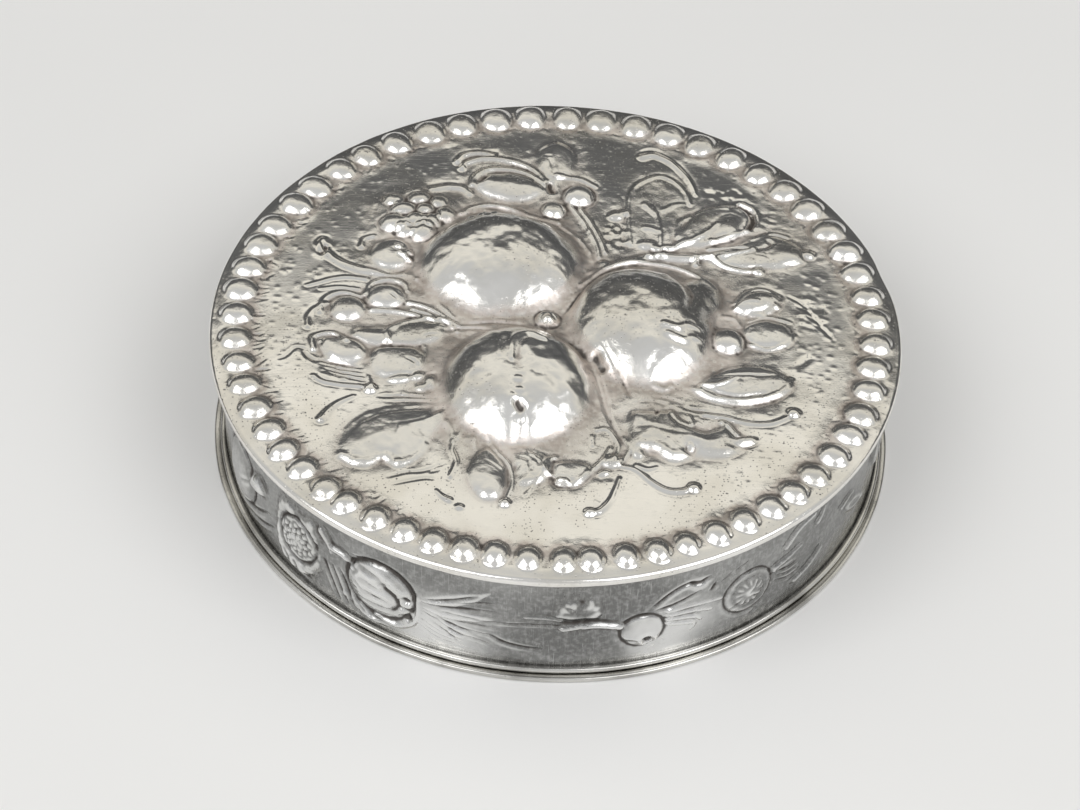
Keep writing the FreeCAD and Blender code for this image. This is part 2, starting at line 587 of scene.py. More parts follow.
class MeshMaker:
    """Collects points, faces and face-corner map places, and makes one closed mesh of them."""

    def __init__(self) -> None:
        """Start with nothing."""
        self.points: list[Grid] = []
        self.faces: list[Grid] = []
        self.places: list[Grid] = []
        self.count = 0

    def add(self, points: Grid) -> Grid:
        """Add points.

        Args:
            points: The points in metres, with their three coordinates last.

        Returns:
            The numbers of the points, in the same layout.
        """
        flat = points.reshape(-1, 3)
        numbers = np.arange(self.count, self.count + len(flat)).reshape(points.shape[:-1])
        self.points.append(flat)
        self.count += len(flat)
        return numbers

    def net(self, numbers: Grid, places: Grid, closed: bool, flip: bool = False) -> None:
        """Join rows of points with four-sided faces.

        Args:
            numbers: Point numbers, row by row.
            places: Map places of the same rows, with one more column where the rows are closed.
            closed: Whether each row is a ring.
            flip: Whether the faces look the other way.
        """
        if closed:
            numbers = np.concatenate([numbers, numbers[:, :1]], axis=1)
        order = [(0, 0), (1, 0), (1, 1), (0, 1)]
        if flip:
            order = order[::-1]
        rows, columns = numbers.shape[0] - 1, numbers.shape[1] - 1
        cut = [(slice(r, rows + r), slice(c, columns + c)) for r, c in order]
        self.faces.append(np.stack([numbers[part] for part in cut], axis=-1).reshape(-1, 4))
        self.places.append(np.stack([places[part] for part in cut], axis=2).reshape(-1, 2))

    def halve(self, fine: Grid, coarse: Grid, fine_at: Grid, coarse_at: Grid) -> None:
        """Join a ring to one of half as many points with triangles.

        Args:
            fine: Point numbers of the fine ring.
            coarse: Point numbers of the coarse ring.
            fine_at: Map places of the fine ring.
            coarse_at: Map places of the coarse ring.
        """
        first, second, third = fine[0::2], fine[1::2], np.roll(fine[0::2], -1)
        near, ahead = coarse, np.roll(coarse, -1)
        at = [fine_at[0::2], fine_at[1::2], np.roll(fine_at[0::2], -1, 0)]
        inner = [coarse_at, np.roll(coarse_at, -1, 0)]
        for corners, where in (
            ((first, near, second), (at[0], inner[0], at[1])),
            ((second, near, ahead), (at[1], inner[0], inner[1])),
            ((second, ahead, third), (at[1], inner[1], at[2])),
        ):
            self.faces.append(np.stack(corners, axis=-1))
            self.places.append(np.stack(where, axis=1).reshape(-1, 2))

    def fan(self, ring: Grid, centre: int, ring_at: Grid, centre_at: Grid) -> None:
        """Close a ring with triangles to a middle point.

        Args:
            ring: Point numbers of the ring.
            centre: Number of the middle point.
            ring_at: Map places of the ring.
            centre_at: Map place of the middle point.
        """
        middle = np.full(len(ring), centre)
        self.faces.append(np.stack([ring, middle, np.roll(ring, -1)], axis=-1))
        middle_at = np.broadcast_to(centre_at, ring_at.shape)
        self.places.append(np.stack([ring_at, middle_at, np.roll(ring_at, -1, 0)], axis=1).reshape(-1, 2))

    def hoop(self, points: Grid, places: Grid) -> None:
        """Add a closed ring of any section, whose rows of points go round that section."""
        numbers = self.add(points)
        self.net(np.vstack([numbers, numbers[:1]]), places, closed=True, flip=True)

    def make(self, name: str) -> Piece:
        """Make the object.

        Args:
            name: The piece's name.

        Returns:
            The object, linked to the scene and shaded smooth.
        """
        mesh = bpy.data.meshes.new(name)
        points = np.concatenate(self.points).astype(np.float32)
        sizes = np.concatenate([np.full(len(rows), rows.shape[1]) for rows in self.faces])
        corners = np.concatenate([rows.ravel() for rows in self.faces]).astype(np.int32)
        starts = np.concatenate([[0], np.cumsum(sizes)[:-1]]).astype(np.int32)
        mesh.vertices.add(len(points))
        mesh.vertices.foreach_set("co", points.ravel())
        mesh.loops.add(len(corners))
        mesh.loops.foreach_set("vertex_index", corners)
        mesh.polygons.add(len(sizes))
        mesh.polygons.foreach_set("loop_start", starts)
        mesh.update(calc_edges=True)
        layer = mesh.uv_layers.new(name="OFBake")
        layer.uv.foreach_set("vector", np.concatenate(self.places).astype(np.float32).ravel())
        mesh.shade_smooth()
        mesh.validate()
        piece = bpy.data.objects.new(name, mesh)
        bpy.context.scene.collection.objects.link(piece)
        return piece


def mark(piece: Piece, name: str, values: Grid) -> None:
    """Store one number per point on a mesh, for its finish to read."""
    layer = piece.data.attributes.new(name, "FLOAT", "POINT")
    layer.data.foreach_set("value", values.astype(np.float32))


# Finishes

Socket = bpy.types.NodeSocket
Value = Socket | float | tuple
Colour = tuple[float, float, float, float]


class NodeTree:
    """Short-hand for laying out the nodes of a material or of the room."""

    def __init__(self, owner: bpy.types.Material | bpy.types.World) -> None:
        """Start from an empty tree.

        Args:
            owner: The material or room that the nodes belong to.
        """
        owner.use_nodes = True
        self.tree = owner.node_tree
        self.tree.nodes.clear()

    def feed(self, socket: Socket, value: Value) -> None:
        """Link another node's output to a socket, or set the socket to a constant.

        Args:
            socket: The socket.
            value: The other node's output, or the constant.
        """
        if isinstance(value, Socket):
            self.tree.links.new(value, socket)
        else:
            socket.default_value = value

    def node(
        self, kind: str, inputs: dict[str | int, Value] | None = None, **settings: object
    ) -> bpy.types.Node:
        """Add a node.

        Args:
            kind: Blender's name of the node type.
            inputs: Socket name or number to a value or to another node's output.
            settings: Attributes of the node.

        Returns:
            The node.
        """
        made = self.tree.nodes.new(kind)
        for name, value in settings.items():
            setattr(made, name, value)
        for name, value in (inputs or {}).items():
            self.feed(made.inputs[name], value)
        return made

    def mark(self, name: str) -> Socket:
        """Read a number that is stored on the mesh's points."""
        return self.node("ShaderNodeAttribute", attribute_name=name).outputs["Fac"]

    def math(self, operation: str, first: Value, second: Value, clamp: bool = False) -> Socket:
        """Work out one number from two others and return its output."""
        made = self.node("ShaderNodeMath", {0: first, 1: second}, operation=operation, use_clamp=clamp)
        return made.outputs[0]

    def times(self, first: Value, second: Value) -> Socket:
        """Multiply two numbers."""
        return self.math("MULTIPLY", first, second)

    def plus(self, base: Value, more: Value, strength: Value, clamp: bool = False) -> Socket:
        """Add a number, taken times a strength, to another."""
        return self.math("ADD", base, self.times(more, strength), clamp)

    def ramp(self, value: Socket, low: float, high: float) -> Socket:
        """Stretch the range from low to high over 0 to 1, with soft ends."""
        made = self.node("ShaderNodeMapRange", {0: value, 1: low, 2: high}, interpolation_type="SMOOTHSTEP")
        return made.outputs[0]

    def mix(self, share: Value, first: Value, second: Value) -> Socket:
        """Mix two colours.

        Args:
            share: How much of the second colour there is, from 0 to 1.
            first: The first colour.
            second: The second colour.

        Returns:
            The mixed colour.
        """
        made = self.node("ShaderNodeMix", data_type="RGBA")
        self.feed(made.inputs[0], share)
        self.feed(made.inputs[6], first)
        self.feed(made.inputs[7], second)
        return made.outputs[2]

    def noise(self, where: Socket, scale: float, detail: float = 2.0) -> Socket:
        """Make soft noise, with its scale counted in waves for each unit of the coordinates."""
        made = self.node("ShaderNodeTexNoise", {"Vector": where, "Scale": scale, "Detail": detail})
        return made.outputs[0]

    def stretched(self, where: Socket, turn: tuple, scale: tuple) -> Socket:
        """Turn and stretch coordinates."""
        made = self.node("ShaderNodeMapping", {"Vector": where, "Rotation": turn, "Scale": scale})
        return made.outputs[0]

    def strongest(self, values: list[Socket]) -> Socket:
        """Take the highest of a few numbers.

        Args:
            values: The numbers.

        Returns:
            The highest.
        """
        found = values[0]
        for value in values[1:]:
            found = self.math("MAXIMUM", found, value)
        return found


@dataclass(frozen=True)
class SilverFinish:
    """Hand-worked silver: bright on the high places, tarnished in the hollows, pitted and finely scratched;
    on the wall its marks also paint sheen, highlights and shade.

    Scales count waves or cells for each millimetre.

    Attributes:
        name: Name of the material.
        silver: Colour of the clean metal.
        film: Colour of the thin film of tarnish that comes and goes over it.
        dirt_and_shade: Colour deep in the crevices, and of the painted shade just above the wall's foot.
        blush_and_shade: Colour of the matt tarnish in broad hollows; on the wall also the painted shade
            wherever no painted sheen or highlight lies.
        deep: Colour of that tarnish where it is thickest.
        patch: Scale of its patches.
        mottle: How patchy that tarnish is.
        matt: How much rougher that tarnish is than the clean metal.
        roughness: Roughness of the clean metal.
        grain: How strongly the fine grain shows.
        scratches: How strongly the scratches show.
        scratch_turns: Directions of the scratches, in degrees.
        upright: Whether the scratches run up and down the wall instead of across the lid.
        pits: How strongly small pits show.
        pit_kinds: Scale, size and rarity of each kind of pit.
        cloud_scale: Scale of the broad clouds of film.
        fleck_scale: Scale of the flecks that break up the tarnish.
        grain_scale: Scale of the fine grain.
        satin_rough: How much rougher the satin places are.
        satin_grain: How much stronger the grain shows in the satin places.
        relief_depth: Depth of the grain, the scratches and the pits, in millimetres.
    """

    name: str
    silver: Colour = (0.93, 0.915, 0.885, 1.0)
    film: Colour = (0.80, 0.775, 0.72, 1.0)
    dirt_and_shade: Colour = (0.075, 0.066, 0.06, 1.0)
    blush_and_shade: Colour = (0.86, 0.785, 0.735, 1.0)
    deep: Colour = (0.56, 0.495, 0.45, 1.0)
    patch: float = 0.23
    mottle: float = 0.6
    matt: float = 0.2
    roughness: float = 0.065
    grain: float = 0.5
    scratches: float = 0.3
    scratch_turns: tuple[float, ...] = (18.0, 71.0, 128.0)
    upright: bool = False
    pits: float = 0.9
    pit_kinds: tuple[tuple[float, float, float], ...] = ((1.3, 0.2, 0.66), (2.9, 0.3, 0.6))
    cloud_scale: float = 0.11
    fleck_scale: float = 1.6
    grain_scale: float = 5.0
    satin_rough: float = 0.12
    satin_grain: float = 7.0
    relief_depth: float = 0.03

    def material(self) -> bpy.types.Material:
        """Lay out the finish.

        Returns:
            The material.
        """
        material = bpy.data.materials.new(self.name)
        nodes = NodeTree(material)
        place = nodes.node("ShaderNodeTexCoord").outputs["Object"]
        scaled = nodes.node("ShaderNodeVectorMath", {0: place, "Scale": 1 / MM}, operation="SCALE")
        where = scaled.outputs[0]
        satin = nodes.mark("satin")
        clouds = nodes.noise(where, self.cloud_scale, 4.0)
        flecks = nodes.noise(where, self.fleck_scale, 5.0)
        grain = nodes.noise(where, self.grain_scale, 3.0)
        lines = self._scratch_lines(nodes, where)
        pits = self._pits(nodes, where, clouds)

        # Colour: film over the clean metal, tarnish in the hollows, dirt in crevices and pits; on the wall
        # the tarnish also paints shade round the painted sheen and highlights, and the crevice colour
        # paints shade above the foot
        colour = nodes.mix(nodes.times(nodes.ramp(clouds, 0.38, 0.68), 0.75), self.silver, self.film)
        patches = nodes.plus(1 - self.mottle, nodes.ramp(flecks, 0.25, 0.6), self.mottle)
        # On the wall this share is real tarnish and painted shade, lowered where sheen and highlights are
        # painted.
        warm = nodes.times(nodes.ramp(nodes.mark("tarnish_and_sheen"), 0.02, 0.7), patches)
        thick = nodes.ramp(nodes.noise(where, self.patch, 3.0), 0.36, 0.62)
        colour = nodes.mix(nodes.times(warm, 0.9), colour, nodes.mix(thick, self.blush_and_shade, self.deep))
        if self.upright:
            colour = nodes.mix(nodes.times(lines, 0.3 * self.scratches), colour, self.silver)
        uneven = nodes.plus(nodes.mark("crevice"), nodes.math("SUBTRACT", flecks, 0.5), 0.5)
        dark = nodes.strongest([nodes.ramp(uneven, 0.12, 0.85), nodes.times(pits, 0.8)])
        # Crevices, pits and, on the wall, the painted shade above the foot take the darkest colour.
        colour = nodes.mix(nodes.times(dark, 0.9), colour, self.dirt_and_shade)

        rough = nodes.plus(self.roughness, nodes.ramp(clouds, 0.3, 0.75), 0.04)
        rough = nodes.plus(rough, nodes.math("SUBTRACT", grain, 0.5), 0.08 * self.grain)
        rough = nodes.plus(rough, lines, 0.1 * self.scratches)
        rough = nodes.plus(rough, warm, self.matt)
        rough = nodes.plus(rough, satin, self.satin_rough)
        rough = nodes.plus(rough, dark, 0.3, clamp=True)

        height = nodes.plus(nodes.times(grain, 0.2 * self.grain), flecks, 0.3 * self.grain)
        height = nodes.times(height, nodes.plus(1.0, satin, self.satin_grain))
        height = nodes.plus(height, lines, -0.12 * self.scratches)
        height = nodes.plus(height, pits, -1.2)
        depth = self.relief_depth * MM
        bump = nodes.node("ShaderNodeBump", {"Height": height, "Strength": 0.8, "Distance": depth})

        shader = nodes.node(
            "ShaderNodeBsdfPrincipled",
            {"Base Color": colour, "Roughness": rough, "Normal": bump.outputs[0], "Metallic": 1.0},
        )
        nodes.node("ShaderNodeOutputMaterial", {"Surface": shader.outputs[0]})
        return material

    def _scratch_lines(self, nodes: NodeTree, where: Socket) -> Socket:
        """Fine scratches in a few directions.

        Args:
            nodes: The material's nodes.
            where: Coordinates in millimetres.

        Returns:
            The strength of the scratches, from 0 to 1.
        """
        lines = []
        for index, degrees in enumerate(self.scratch_turns):
            turn = (0.0, 0.0, math.radians(degrees))
            scale = (11.0, 11.0, 0.3) if self.upright else (0.16, 7.0 - index, 7.0 - index)
            long = nodes.stretched(where, turn, scale)
            lines.append(nodes.ramp(nodes.noise(long, 1.0 + 0.35 * index, 2.0), 0.6, 0.74))
        return nodes.strongest(lines)

    def _pits(self, nodes: NodeTree, where: Socket, clouds: Socket) -> Socket:
        """Small pits that gather in clouds.

        Args:
            nodes: The material's nodes.
            where: Coordinates in millimetres.
            clouds: Broad noise that says where pits gather.

        Returns:
            The strength of the pits, from 0 to 1.
        """
        kinds = []
        for scale, size, rarity in self.pit_kinds:
            cells = nodes.node("ShaderNodeTexVoronoi", {"Vector": where, "Scale": scale, "Randomness": 1.0})
            dots = nodes.math("SUBTRACT", 1.0, nodes.ramp(cells.outputs["Distance"], 0.3 * size, size))
            kinds.append(nodes.times(dots, nodes.ramp(cells.outputs["Color"], rarity, rarity + 0.04)))
        gather = nodes.times(nodes.ramp(clouds, 0.42, 0.56), self.pits)
        return nodes.times(nodes.strongest(kinds), gather)


@dataclass(frozen=True)
class FloorFinish:
    """Plain pale paper under the box.

    Attributes:
        name: Name of the material.
        pale: Its colour.
        shade: How dark its faint clouds are, as a share of that colour.
        roughness: Its roughness.
    """

    name: str = "pale_paper"
    pale: Colour = (0.88, 0.876, 0.868, 1.0)
    shade: float = 0.97
    roughness: float = 0.85

    def material(self) -> bpy.types.Material:
        """Lay out the finish.

        Returns:
            The material.
        """
        material = bpy.data.materials.new(self.name)
        nodes = NodeTree(material)
        place = nodes.node("ShaderNodeTexCoord").outputs["Object"]
        clouds = nodes.noise(place, 6.0, 3.0)
        darker = tuple(self.shade * part for part in self.pale[:3]) + (1.0,)
        colour = nodes.mix(nodes.ramp(clouds, 0.3, 0.7), self.pale, darker)
        shader = nodes.node("ShaderNodeBsdfPrincipled", {"Base Color": colour, "Roughness": self.roughness})
        nodes.node("ShaderNodeOutputMaterial", {"Surface": shader.outputs[0]})
        return material


def dress(piece: Piece, material: bpy.types.Material, body: Body) -> Piece:
    """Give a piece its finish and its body.

    Args:
        piece: The object.
        material: Its finish.
        body: The body that it moves with.

    Returns:
        The same object.
    """
    piece.data.materials.clear()
    piece.data.materials.append(material)
    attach(piece, body.value)
    return piece


def dress_node(node: str, material: bpy.types.Material) -> Piece:
    """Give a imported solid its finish.

    Args:
        node: Name of the solid.
        material: Its finish.

    Returns:
        The solid's object.
    """
    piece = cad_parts[node]
    piece.data.materials.clear()
    piece.data.materials.append(material)
    return piece


# The lid

# The three fruits in the middle of the lid, with what is chased on them
FRUITS: list[Motif] = [
    Dome(11.3, -0.6, 12, 13.2, 1, turn=12, fullness=2, chase=0, fillet=0.4),
    Dome(-7.6, 9.4, 13.2, 11.4, 1, fullness=2, chase=0, fillet=0.4),
    Dome(-4.5, -12.2, 12, 12.2, 1, fullness=2, chase=0, fillet=0.4),
    Dome(18, 3.6, 3.4, 5.4, 2, turn=-14, chase=0, fillet=0.9),
    Dome(11.2, -0.6, 9.6, 11, 4.1, turn=12, fullness=3, chase=0, fillet=0.9, lean=(0, 1.2)),
    Dome(-7.6, 9.9, 11, 9.7, 4, fullness=2.9, chase=0, fillet=0.9, lean=(0, 3)),
    Dome(-4.5, -12.4, 9.8, 10.2, 4.2, fullness=2.9, chase=0, fillet=0.9, lean=(0, 2.4)),
    Groove([(13.6, 9.4), (16.2, 6.8), (17.4, 3), (16.8, -0.6)], 0.6, 0.45),
    Groove([(12.6, 10), (15.4, 7.4), (16.6, 4.4)], 0.3, 0.12),
    Ridge([(13.8, -3.6), (15.6, -3.8), (17, -3), (18.6, -2.8)], 0.5, 0.25, 0.6),
    Ridge([(14.4, -5), (16.4, -5.4), (17.6, -4.6), (18.9, -4.4)], 0.5, 0.25, 0.6),
    Ridge([(13, -11.6), (14.2, -11.9), (15, -11.3)], 0.45, 0.2, 0.9),
    Groove([(-4.7, -11), (-4.5, -15), (-4.1, -19), (-4, -22.4)], 1, 0.24, blunt=True),
    Groove([(-9.4, -13), (-9.7, -16.6), (-8.8, -21)], 1.3, 0.2),
    Groove([(0.2, -13), (0.7, -16.6), (-0.2, -21.2)], 1.3, 0.18),
    Dome(-4.5, -14.6, 0.7, 0.6, 0.16, added=True),
    Dome(-4.3, -16.4, 0.7, 0.55, 0.14, added=True),
    Dome(-4.1, -20.2, 0.7, 0.55, 0.14, added=True),
    Groove([(-4.4, -18.2), (-4, -18.7)], 0.5, 0.5, blunt=True),
    Ridge([(-1.4, -7.2), (-3, -6.2), (-4.6, -6.6), (-5.5, -8.4), (-5.4, -11.4)], 0.55, 0.3, 0.7),
    Groove([(-2, -7.8), (-3.4, -7.4), (-4.4, -8.8), (-4.6, -11)], 0.3, 0.2),
    Ridge([(-6.6, -6.2), (-7.2, -8.6), (-7, -11)], 0.5, 0.12, 0.6),
    Dome(-10.6, 18, 1, 0.8, 0.45, added=True),
    Dome(-8.9, 18.5, 0.9, 0.7, 0.4, added=True),
    Dome(-12, 17.4, 0.8, 0.7, 0.35, added=True),
    Dome(-9.8, 17.3, 0.7, 0.6, 0.3, added=True),
    Ridge([(3, 6.4), (6, 9.6), (10, 11.6), (14.6, 11.4), (18.4, 9.6), (20.8, 7)], 0.4, 0.3, 0.8),
    Groove([(5.4, -5), (7.4, -8.6), (8.8, -11), (9.8, -13.6)], 0.25, 0.15),
    Groove([(4.6, -8), (6, -13), (7, -17), (9, -21.6)], 0.25, 0.15),
    Groove([(5.6, -9), (6.8, -14), (7.6, -18.6)], 0.2, 0.12),
    Groove([(5.3, -7.6), (6.2, -9.2)], 0.5, 0.4, blunt=True),
    Groove([(0.6, 0.4), (2.6, 4), (5, 7.6)], 0.3, 0.2),
    Groove([(-12, -1.6), (-8, -1.2), (-4, -1.4)], 0.25, 0.15),
    Groove([(-14.6, -2.8), (-11, -2.4), (-7.6, -2.8)], 0.25, 0.15),
]

# Middle and radius of each grape, and of each plain berry
GRAPES = [
    (-22.6, 22.3, 1.4), (-19.2, 22.9, 1.5), (-16.4, 22.2, 1.3), (-21.2, 20.2, 1.6), (-18.2, 20.3, 1.2),
    (-15.4, 19.5, 1.5), (-22.2, 17.4, 1.9), (-19.4, 17.9, 1.6), (-17.2, 18, 1.5), (-18.2, 15.7, 1.8),
    (-20.7, 15.9, 1.3),
]
ROUND_BERRIES = [(2.4, 24.8, 2.2), (-0.9, 21.6, 1.7), (22.1, -2.7, 2.5), (6, 10.8, 1.1)]

# Berries, buds and the cluster of grapes
BERRIES: list[Motif] = [
    Dome(-19, 19.4, 6, 5.4, 0.7, fullness=2.4, fillet=0.5),
    *(Dome(x, y, size * 1.1, size * 0.95, size * 0.36, turn=17 * x, fullness=2.2, added=True)
      for x, y, size in GRAPES),
    *(Dome(x, y, size, size, size * 0.5) for x, y, size in ROUND_BERRIES),
    Dome(-1.1, -0.2, 1.7, 1.6, 1.25, fullness=2.3, fillet=0.5),
    Groove([(-2.1, -0.6), (-1.1, 0.5), (-0.1, -0.6)], 0.25, 0.2),
    Dome(-1, -0.9, 0.8, 0.7, 0.35, added=True),
    Leaf([(-25.2, 11), (-24.2, 13.8), (-21.6, 14.6), (-19.6, 13), (-19.4, 10), (-21, 8.6), (-23.6, 8.8)],
         0.25, crown=0.55, edge=0.8),
    Ridge([(-26.3, 12.9), (-26, 14.4), (-24.8, 15.1)], 0.4, 0.25, 0.7),
    Dome(-21.3, 12.5, 0.6, 0.6, 0.35, added=True),
    Dome(-20.7, 11.2, 0.8, 0.6, 0.35, added=True, turn=-30),
    Dome(-20, 10.5, 0.8, 0.5, 0.35, added=True, turn=-40),
    Dome(-19.8, 11.6, 0.6, 0.6, 0.3, added=True),
    Groove([(-25.2, 9), (-23, 8), (-21, 8), (-19.4, 9.3)], 0.25, 0.18),
    Dome(-22.4, 3.2, 2.7, 2.4, 0.85),
    Ridge([(-25.2, 3.6), (-24.2, 5.8), (-22, 6.6), (-20.2, 5.8), (-19.6, 4.4)], 0.4, 0.2, 0.8),
    Groove([(-21.8, 3.2), (-20.8, 2.4)], 0.15, 0.1),
    Groove([(-21.2, 4), (-20.4, 3.2)], 0.15, 0.1),
    Dome(-27.2, 0.8, 2.4, 2.4, 0.85),
    Ridge([(-30.8, 0), (-30.2, 2.6), (-28.2, 3.9), (-25.8, 3.3)], 0.4, 0.2, 0.8),
    Groove([(-28.2, 2), (-27.6, 1.4)], 0.2, 0.12),
    Dome(-15.6, -12.5, 0.9, 1.4, 0.45),
    Dome(-16.7, -13.4, 0.8, 0.7, 0.3),
]

# Leaves, stems and tendrils in the far half of the lid's picture
BACK_LEAVES: list[Motif] = [
    Leaf([(-1.2, 27.4), (-3.6, 30.4), (-3.6, 34.2), (-0.8, 36.4), (1.9, 34), (1.8, 30)], 0.22, crown=0.4),
    Groove([(-1, 28.2), (-1.4, 30.6), (-1.9, 32.2)], 0.16, 0.1),
    Groove([(-1.5, 32.4), (-2.4, 32.7)], 0.16, 0.1),
    Leaf([(-2.2, 26), (-4.6, 28.5), (-8, 29.3), (-11, 28.1), (-12, 26), (-10, 24), (-7, 23.1), (-4, 23.6)],
         0.22, crown=0.6, edge=0.8),
    Ridge([(-2.2, 27), (-5, 29.3), (-8, 30.1), (-10.6, 29.5), (-12, 27.8), (-12.2, 26.4)], 0.5, 0.28, 0.9),
    Groove([(-10.4, 28), (-11, 27)], 0.4, 0.3, blunt=True),
    Groove([(-2.6, 26.6), (-5, 27.6), (-7.4, 27.8)], 0.18, 0.12),
    Ridge([(-2, 27.6), (-4.6, 30.6), (-8, 32), (-11, 32), (-13.2, 30.9), (-13.7, 29.9)], 0.42, 0.25, 1.2),
    Ridge([(-9.4, 32.9), (-11.6, 33.2), (-13.5, 32.6), (-14.4, 31.2)], 0.4, 0.25, 1.2),
    Groove([(-1.6, 26.9), (-1.2, 25.8)], 0.4, 0.35, blunt=True),
    Ridge([(-17.4, 25.1), (-15.5, 25.8), (-13.6, 25.7), (-12.4, 24.6)], 0.7, 0.28, 0.8),
    Ridge([(-20.9, 24), (-19.6, 24.8), (-18.2, 24.5)], 0.35, 0.25, 0.8),
    Ridge([(-14.2, 19.4), (-12, 21.4), (-9, 22.1), (-6, 21.2), (-3.6, 20), (0, 19)], 0.5, 0.35, 0.8),
    Ridge([(-13.4, 20), (-10.6, 21.2), (-7.4, 20.6)], 0.3, 0.2, 0.8),
    Ridge([(-0.6, 28.6), (2.4, 28.6), (4.6, 27.2)], 0.4, 0.2, 0.7),
    Ridge([(1.2, 23), (2.6, 20.6), (4, 17.6), (5.1, 14.6), (5.4, 12.4)], 0.36, 0.3, 0.9),
    Ridge([(2.6, 22.4), (4.2, 19.2), (5.4, 16.2), (6.2, 13.4)], 0.36, 0.28, 0.9),
    Ridge([(-0.2, 18.8), (2.2, 16.4), (4, 13.6), (4.4, 11.8)], 0.3, 0.2, 0.8),
    Stipple(7.8, 16.8, 2.2, 3.6, 0.05, 0.26),
    Stipple(2.9, 16.8, 1.7, 3, 0.04, 0.26),
    Dome(7.6, 21.2, 1.2, 0.9, 0.4, turn=20),
    Dome(8.7, 21.8, 0.8, 0.7, 0.3),
    Ridge([(9.6, 15.4), (9.3, 19), (9.2, 24), (10, 27.4), (12, 29.3), (13.7, 29.9), (15.5, 28.9),
           (17, 26.6), (17.5, 24.4)], 0.32, 0.16, 1),
    Leaf([(10.6, 15), (9.6, 19), (9.6, 24), (10.6, 27), (13.4, 29.2), (16.2, 26.8), (16.8, 23.6),
          (15.6, 19), (14, 15)], 0.07, edge=0.5, chase=0),
    Ridge([(13.5, 15), (13.5, 18), (13.1, 21.2), (12.4, 23.6)], 0.3, 0.14, 0.7),
    Ridge([(11.4, 23.7), (12, 23), (12.7, 21.9)], 0.45, 0.14, 0.8),
    Ridge([(11.4, 18.8), (12.4, 18.7), (13.5, 18.2)], 0.4, 0.14, 0.8),
    Ridge([(14, 22.8), (15.4, 24), (16.8, 24.4)], 0.4, 0.14, 0.6),
    Dome(11.8, 15.5, 1.4, 0.9, 0.35),
    Dome(13, 14.8, 0.8, 0.6, 0.35),
    Dome(14.6, 15.1, 1, 0.6, 0.4),
    Ridge([(11, 33.9), (12.6, 34.4), (14.5, 33.4), (16, 31.7), (17.2, 29.8), (18, 27.8), (18.3, 26.4)],
          0.6, 0.28, 0.4),
    Groove([(10.8, 35.1), (12.2, 35.6), (13.8, 35.1)], 0.18, 0.1),
    Leaf([(15.4, 15.8), (16.4, 19.8), (18.6, 22.6), (21.6, 24.2), (24.6, 24.2), (26.2, 21.8), (25.4, 19),
          (22.5, 17), (19, 15.4)], 0.25, crown=0.35),
    Dome(22.5, 19.4, 1.9, 2.7, 0.8, turn=-28, fullness=2.3, chase=0.05),
    Ridge([(15.6, 15.5), (18, 16.7), (20, 18.4), (21.2, 20)], 0.5, 0.25, 0.6),
    Ridge([(15.8, 17.4), (16.2, 20.2), (17.6, 21.8)], 0.5, 0.2, 0.9),
    Ridge([(18.4, 22.3), (20.6, 23.3), (22.6, 23.4)], 0.35, 0.15, 0.9),
    Groove([(24.4, 24.2), (25.6, 23.2), (26, 21.6), (25.5, 19.9)], 0.4, 0.4, blunt=True),
    Ridge([(24.4, 24.9), (26.2, 23.6), (26.7, 21.6), (26.2, 19.8)], 0.3, 0.2, 0.7),
    Ridge([(20.4, 16.6), (22.6, 17.4), (24.6, 18.8), (25.6, 19.6)], 0.4, 0.25, 0.7),
    Leaf([(18.6, 13.4), (22, 15.4), (25, 17.4), (28, 18.8), (31, 17.8), (33, 15.4), (31.4, 12.8),
          (28, 11.8), (24, 11.2), (21, 12)], 0.25, crown=0.35, lean=(0.01, -0.01)),
    Dome(30.2, 14.6, 2.6, 1.7, 0.6, turn=-15, fullness=2.3, chase=0.05),
    Dome(25.4, 13, 2.6, 1.1, 0.35, turn=5, chase=0.04),
    Groove([(27.6, 15.4), (28.3, 16.5), (27.8, 17.4)], 0.3, 0.22),
    Groove([(26.6, 15.2), (27.4, 15.9)], 0.25, 0.15),
    Ridge([(20, 15.2), (23, 15.7), (26, 15.3)], 0.35, 0.22, 0.7),
    Ridge([(25.8, 17.4), (28.4, 19), (30.6, 18.6)], 0.35, 0.2, 0.7),
    Dome(33.4, 15.2, 0.9, 0.9, 0.4),
    Ridge([(26, 15.1), (23.8, 14.2), (21.9, 13.6)], 0.28, 0.2, 1.2, ball=0.75),
    Ridge([(20.4, 13.3), (22, 11.9), (24.2, 11.2), (26.6, 11.3)], 0.28, 0.2, 1.2, ball=0.75),
    Ridge([(20.4, 13.5), (19.3, 13.7), (18.2, 13.2), (18.2, 12)], 0.5, 0.35, 0.9),
    Ridge([(4.4, 9.2), (7, 10.4), (9.6, 11.8), (12.4, 13), (14.6, 13.2), (18, 13.2)], 1, 0.5, 0.8),
    Dome(13.6, 13.4, 1, 0.7, 0.3, added=True),
    Dome(12, 13.2, 0.7, 0.5, 0.25, added=True),
    Stipple(22.6, 26.4, 4.6, 1.8, 0.02, 0.3),
    Stipple(27, 21.4, 2.6, 2.4, 0.02, 0.3),
]

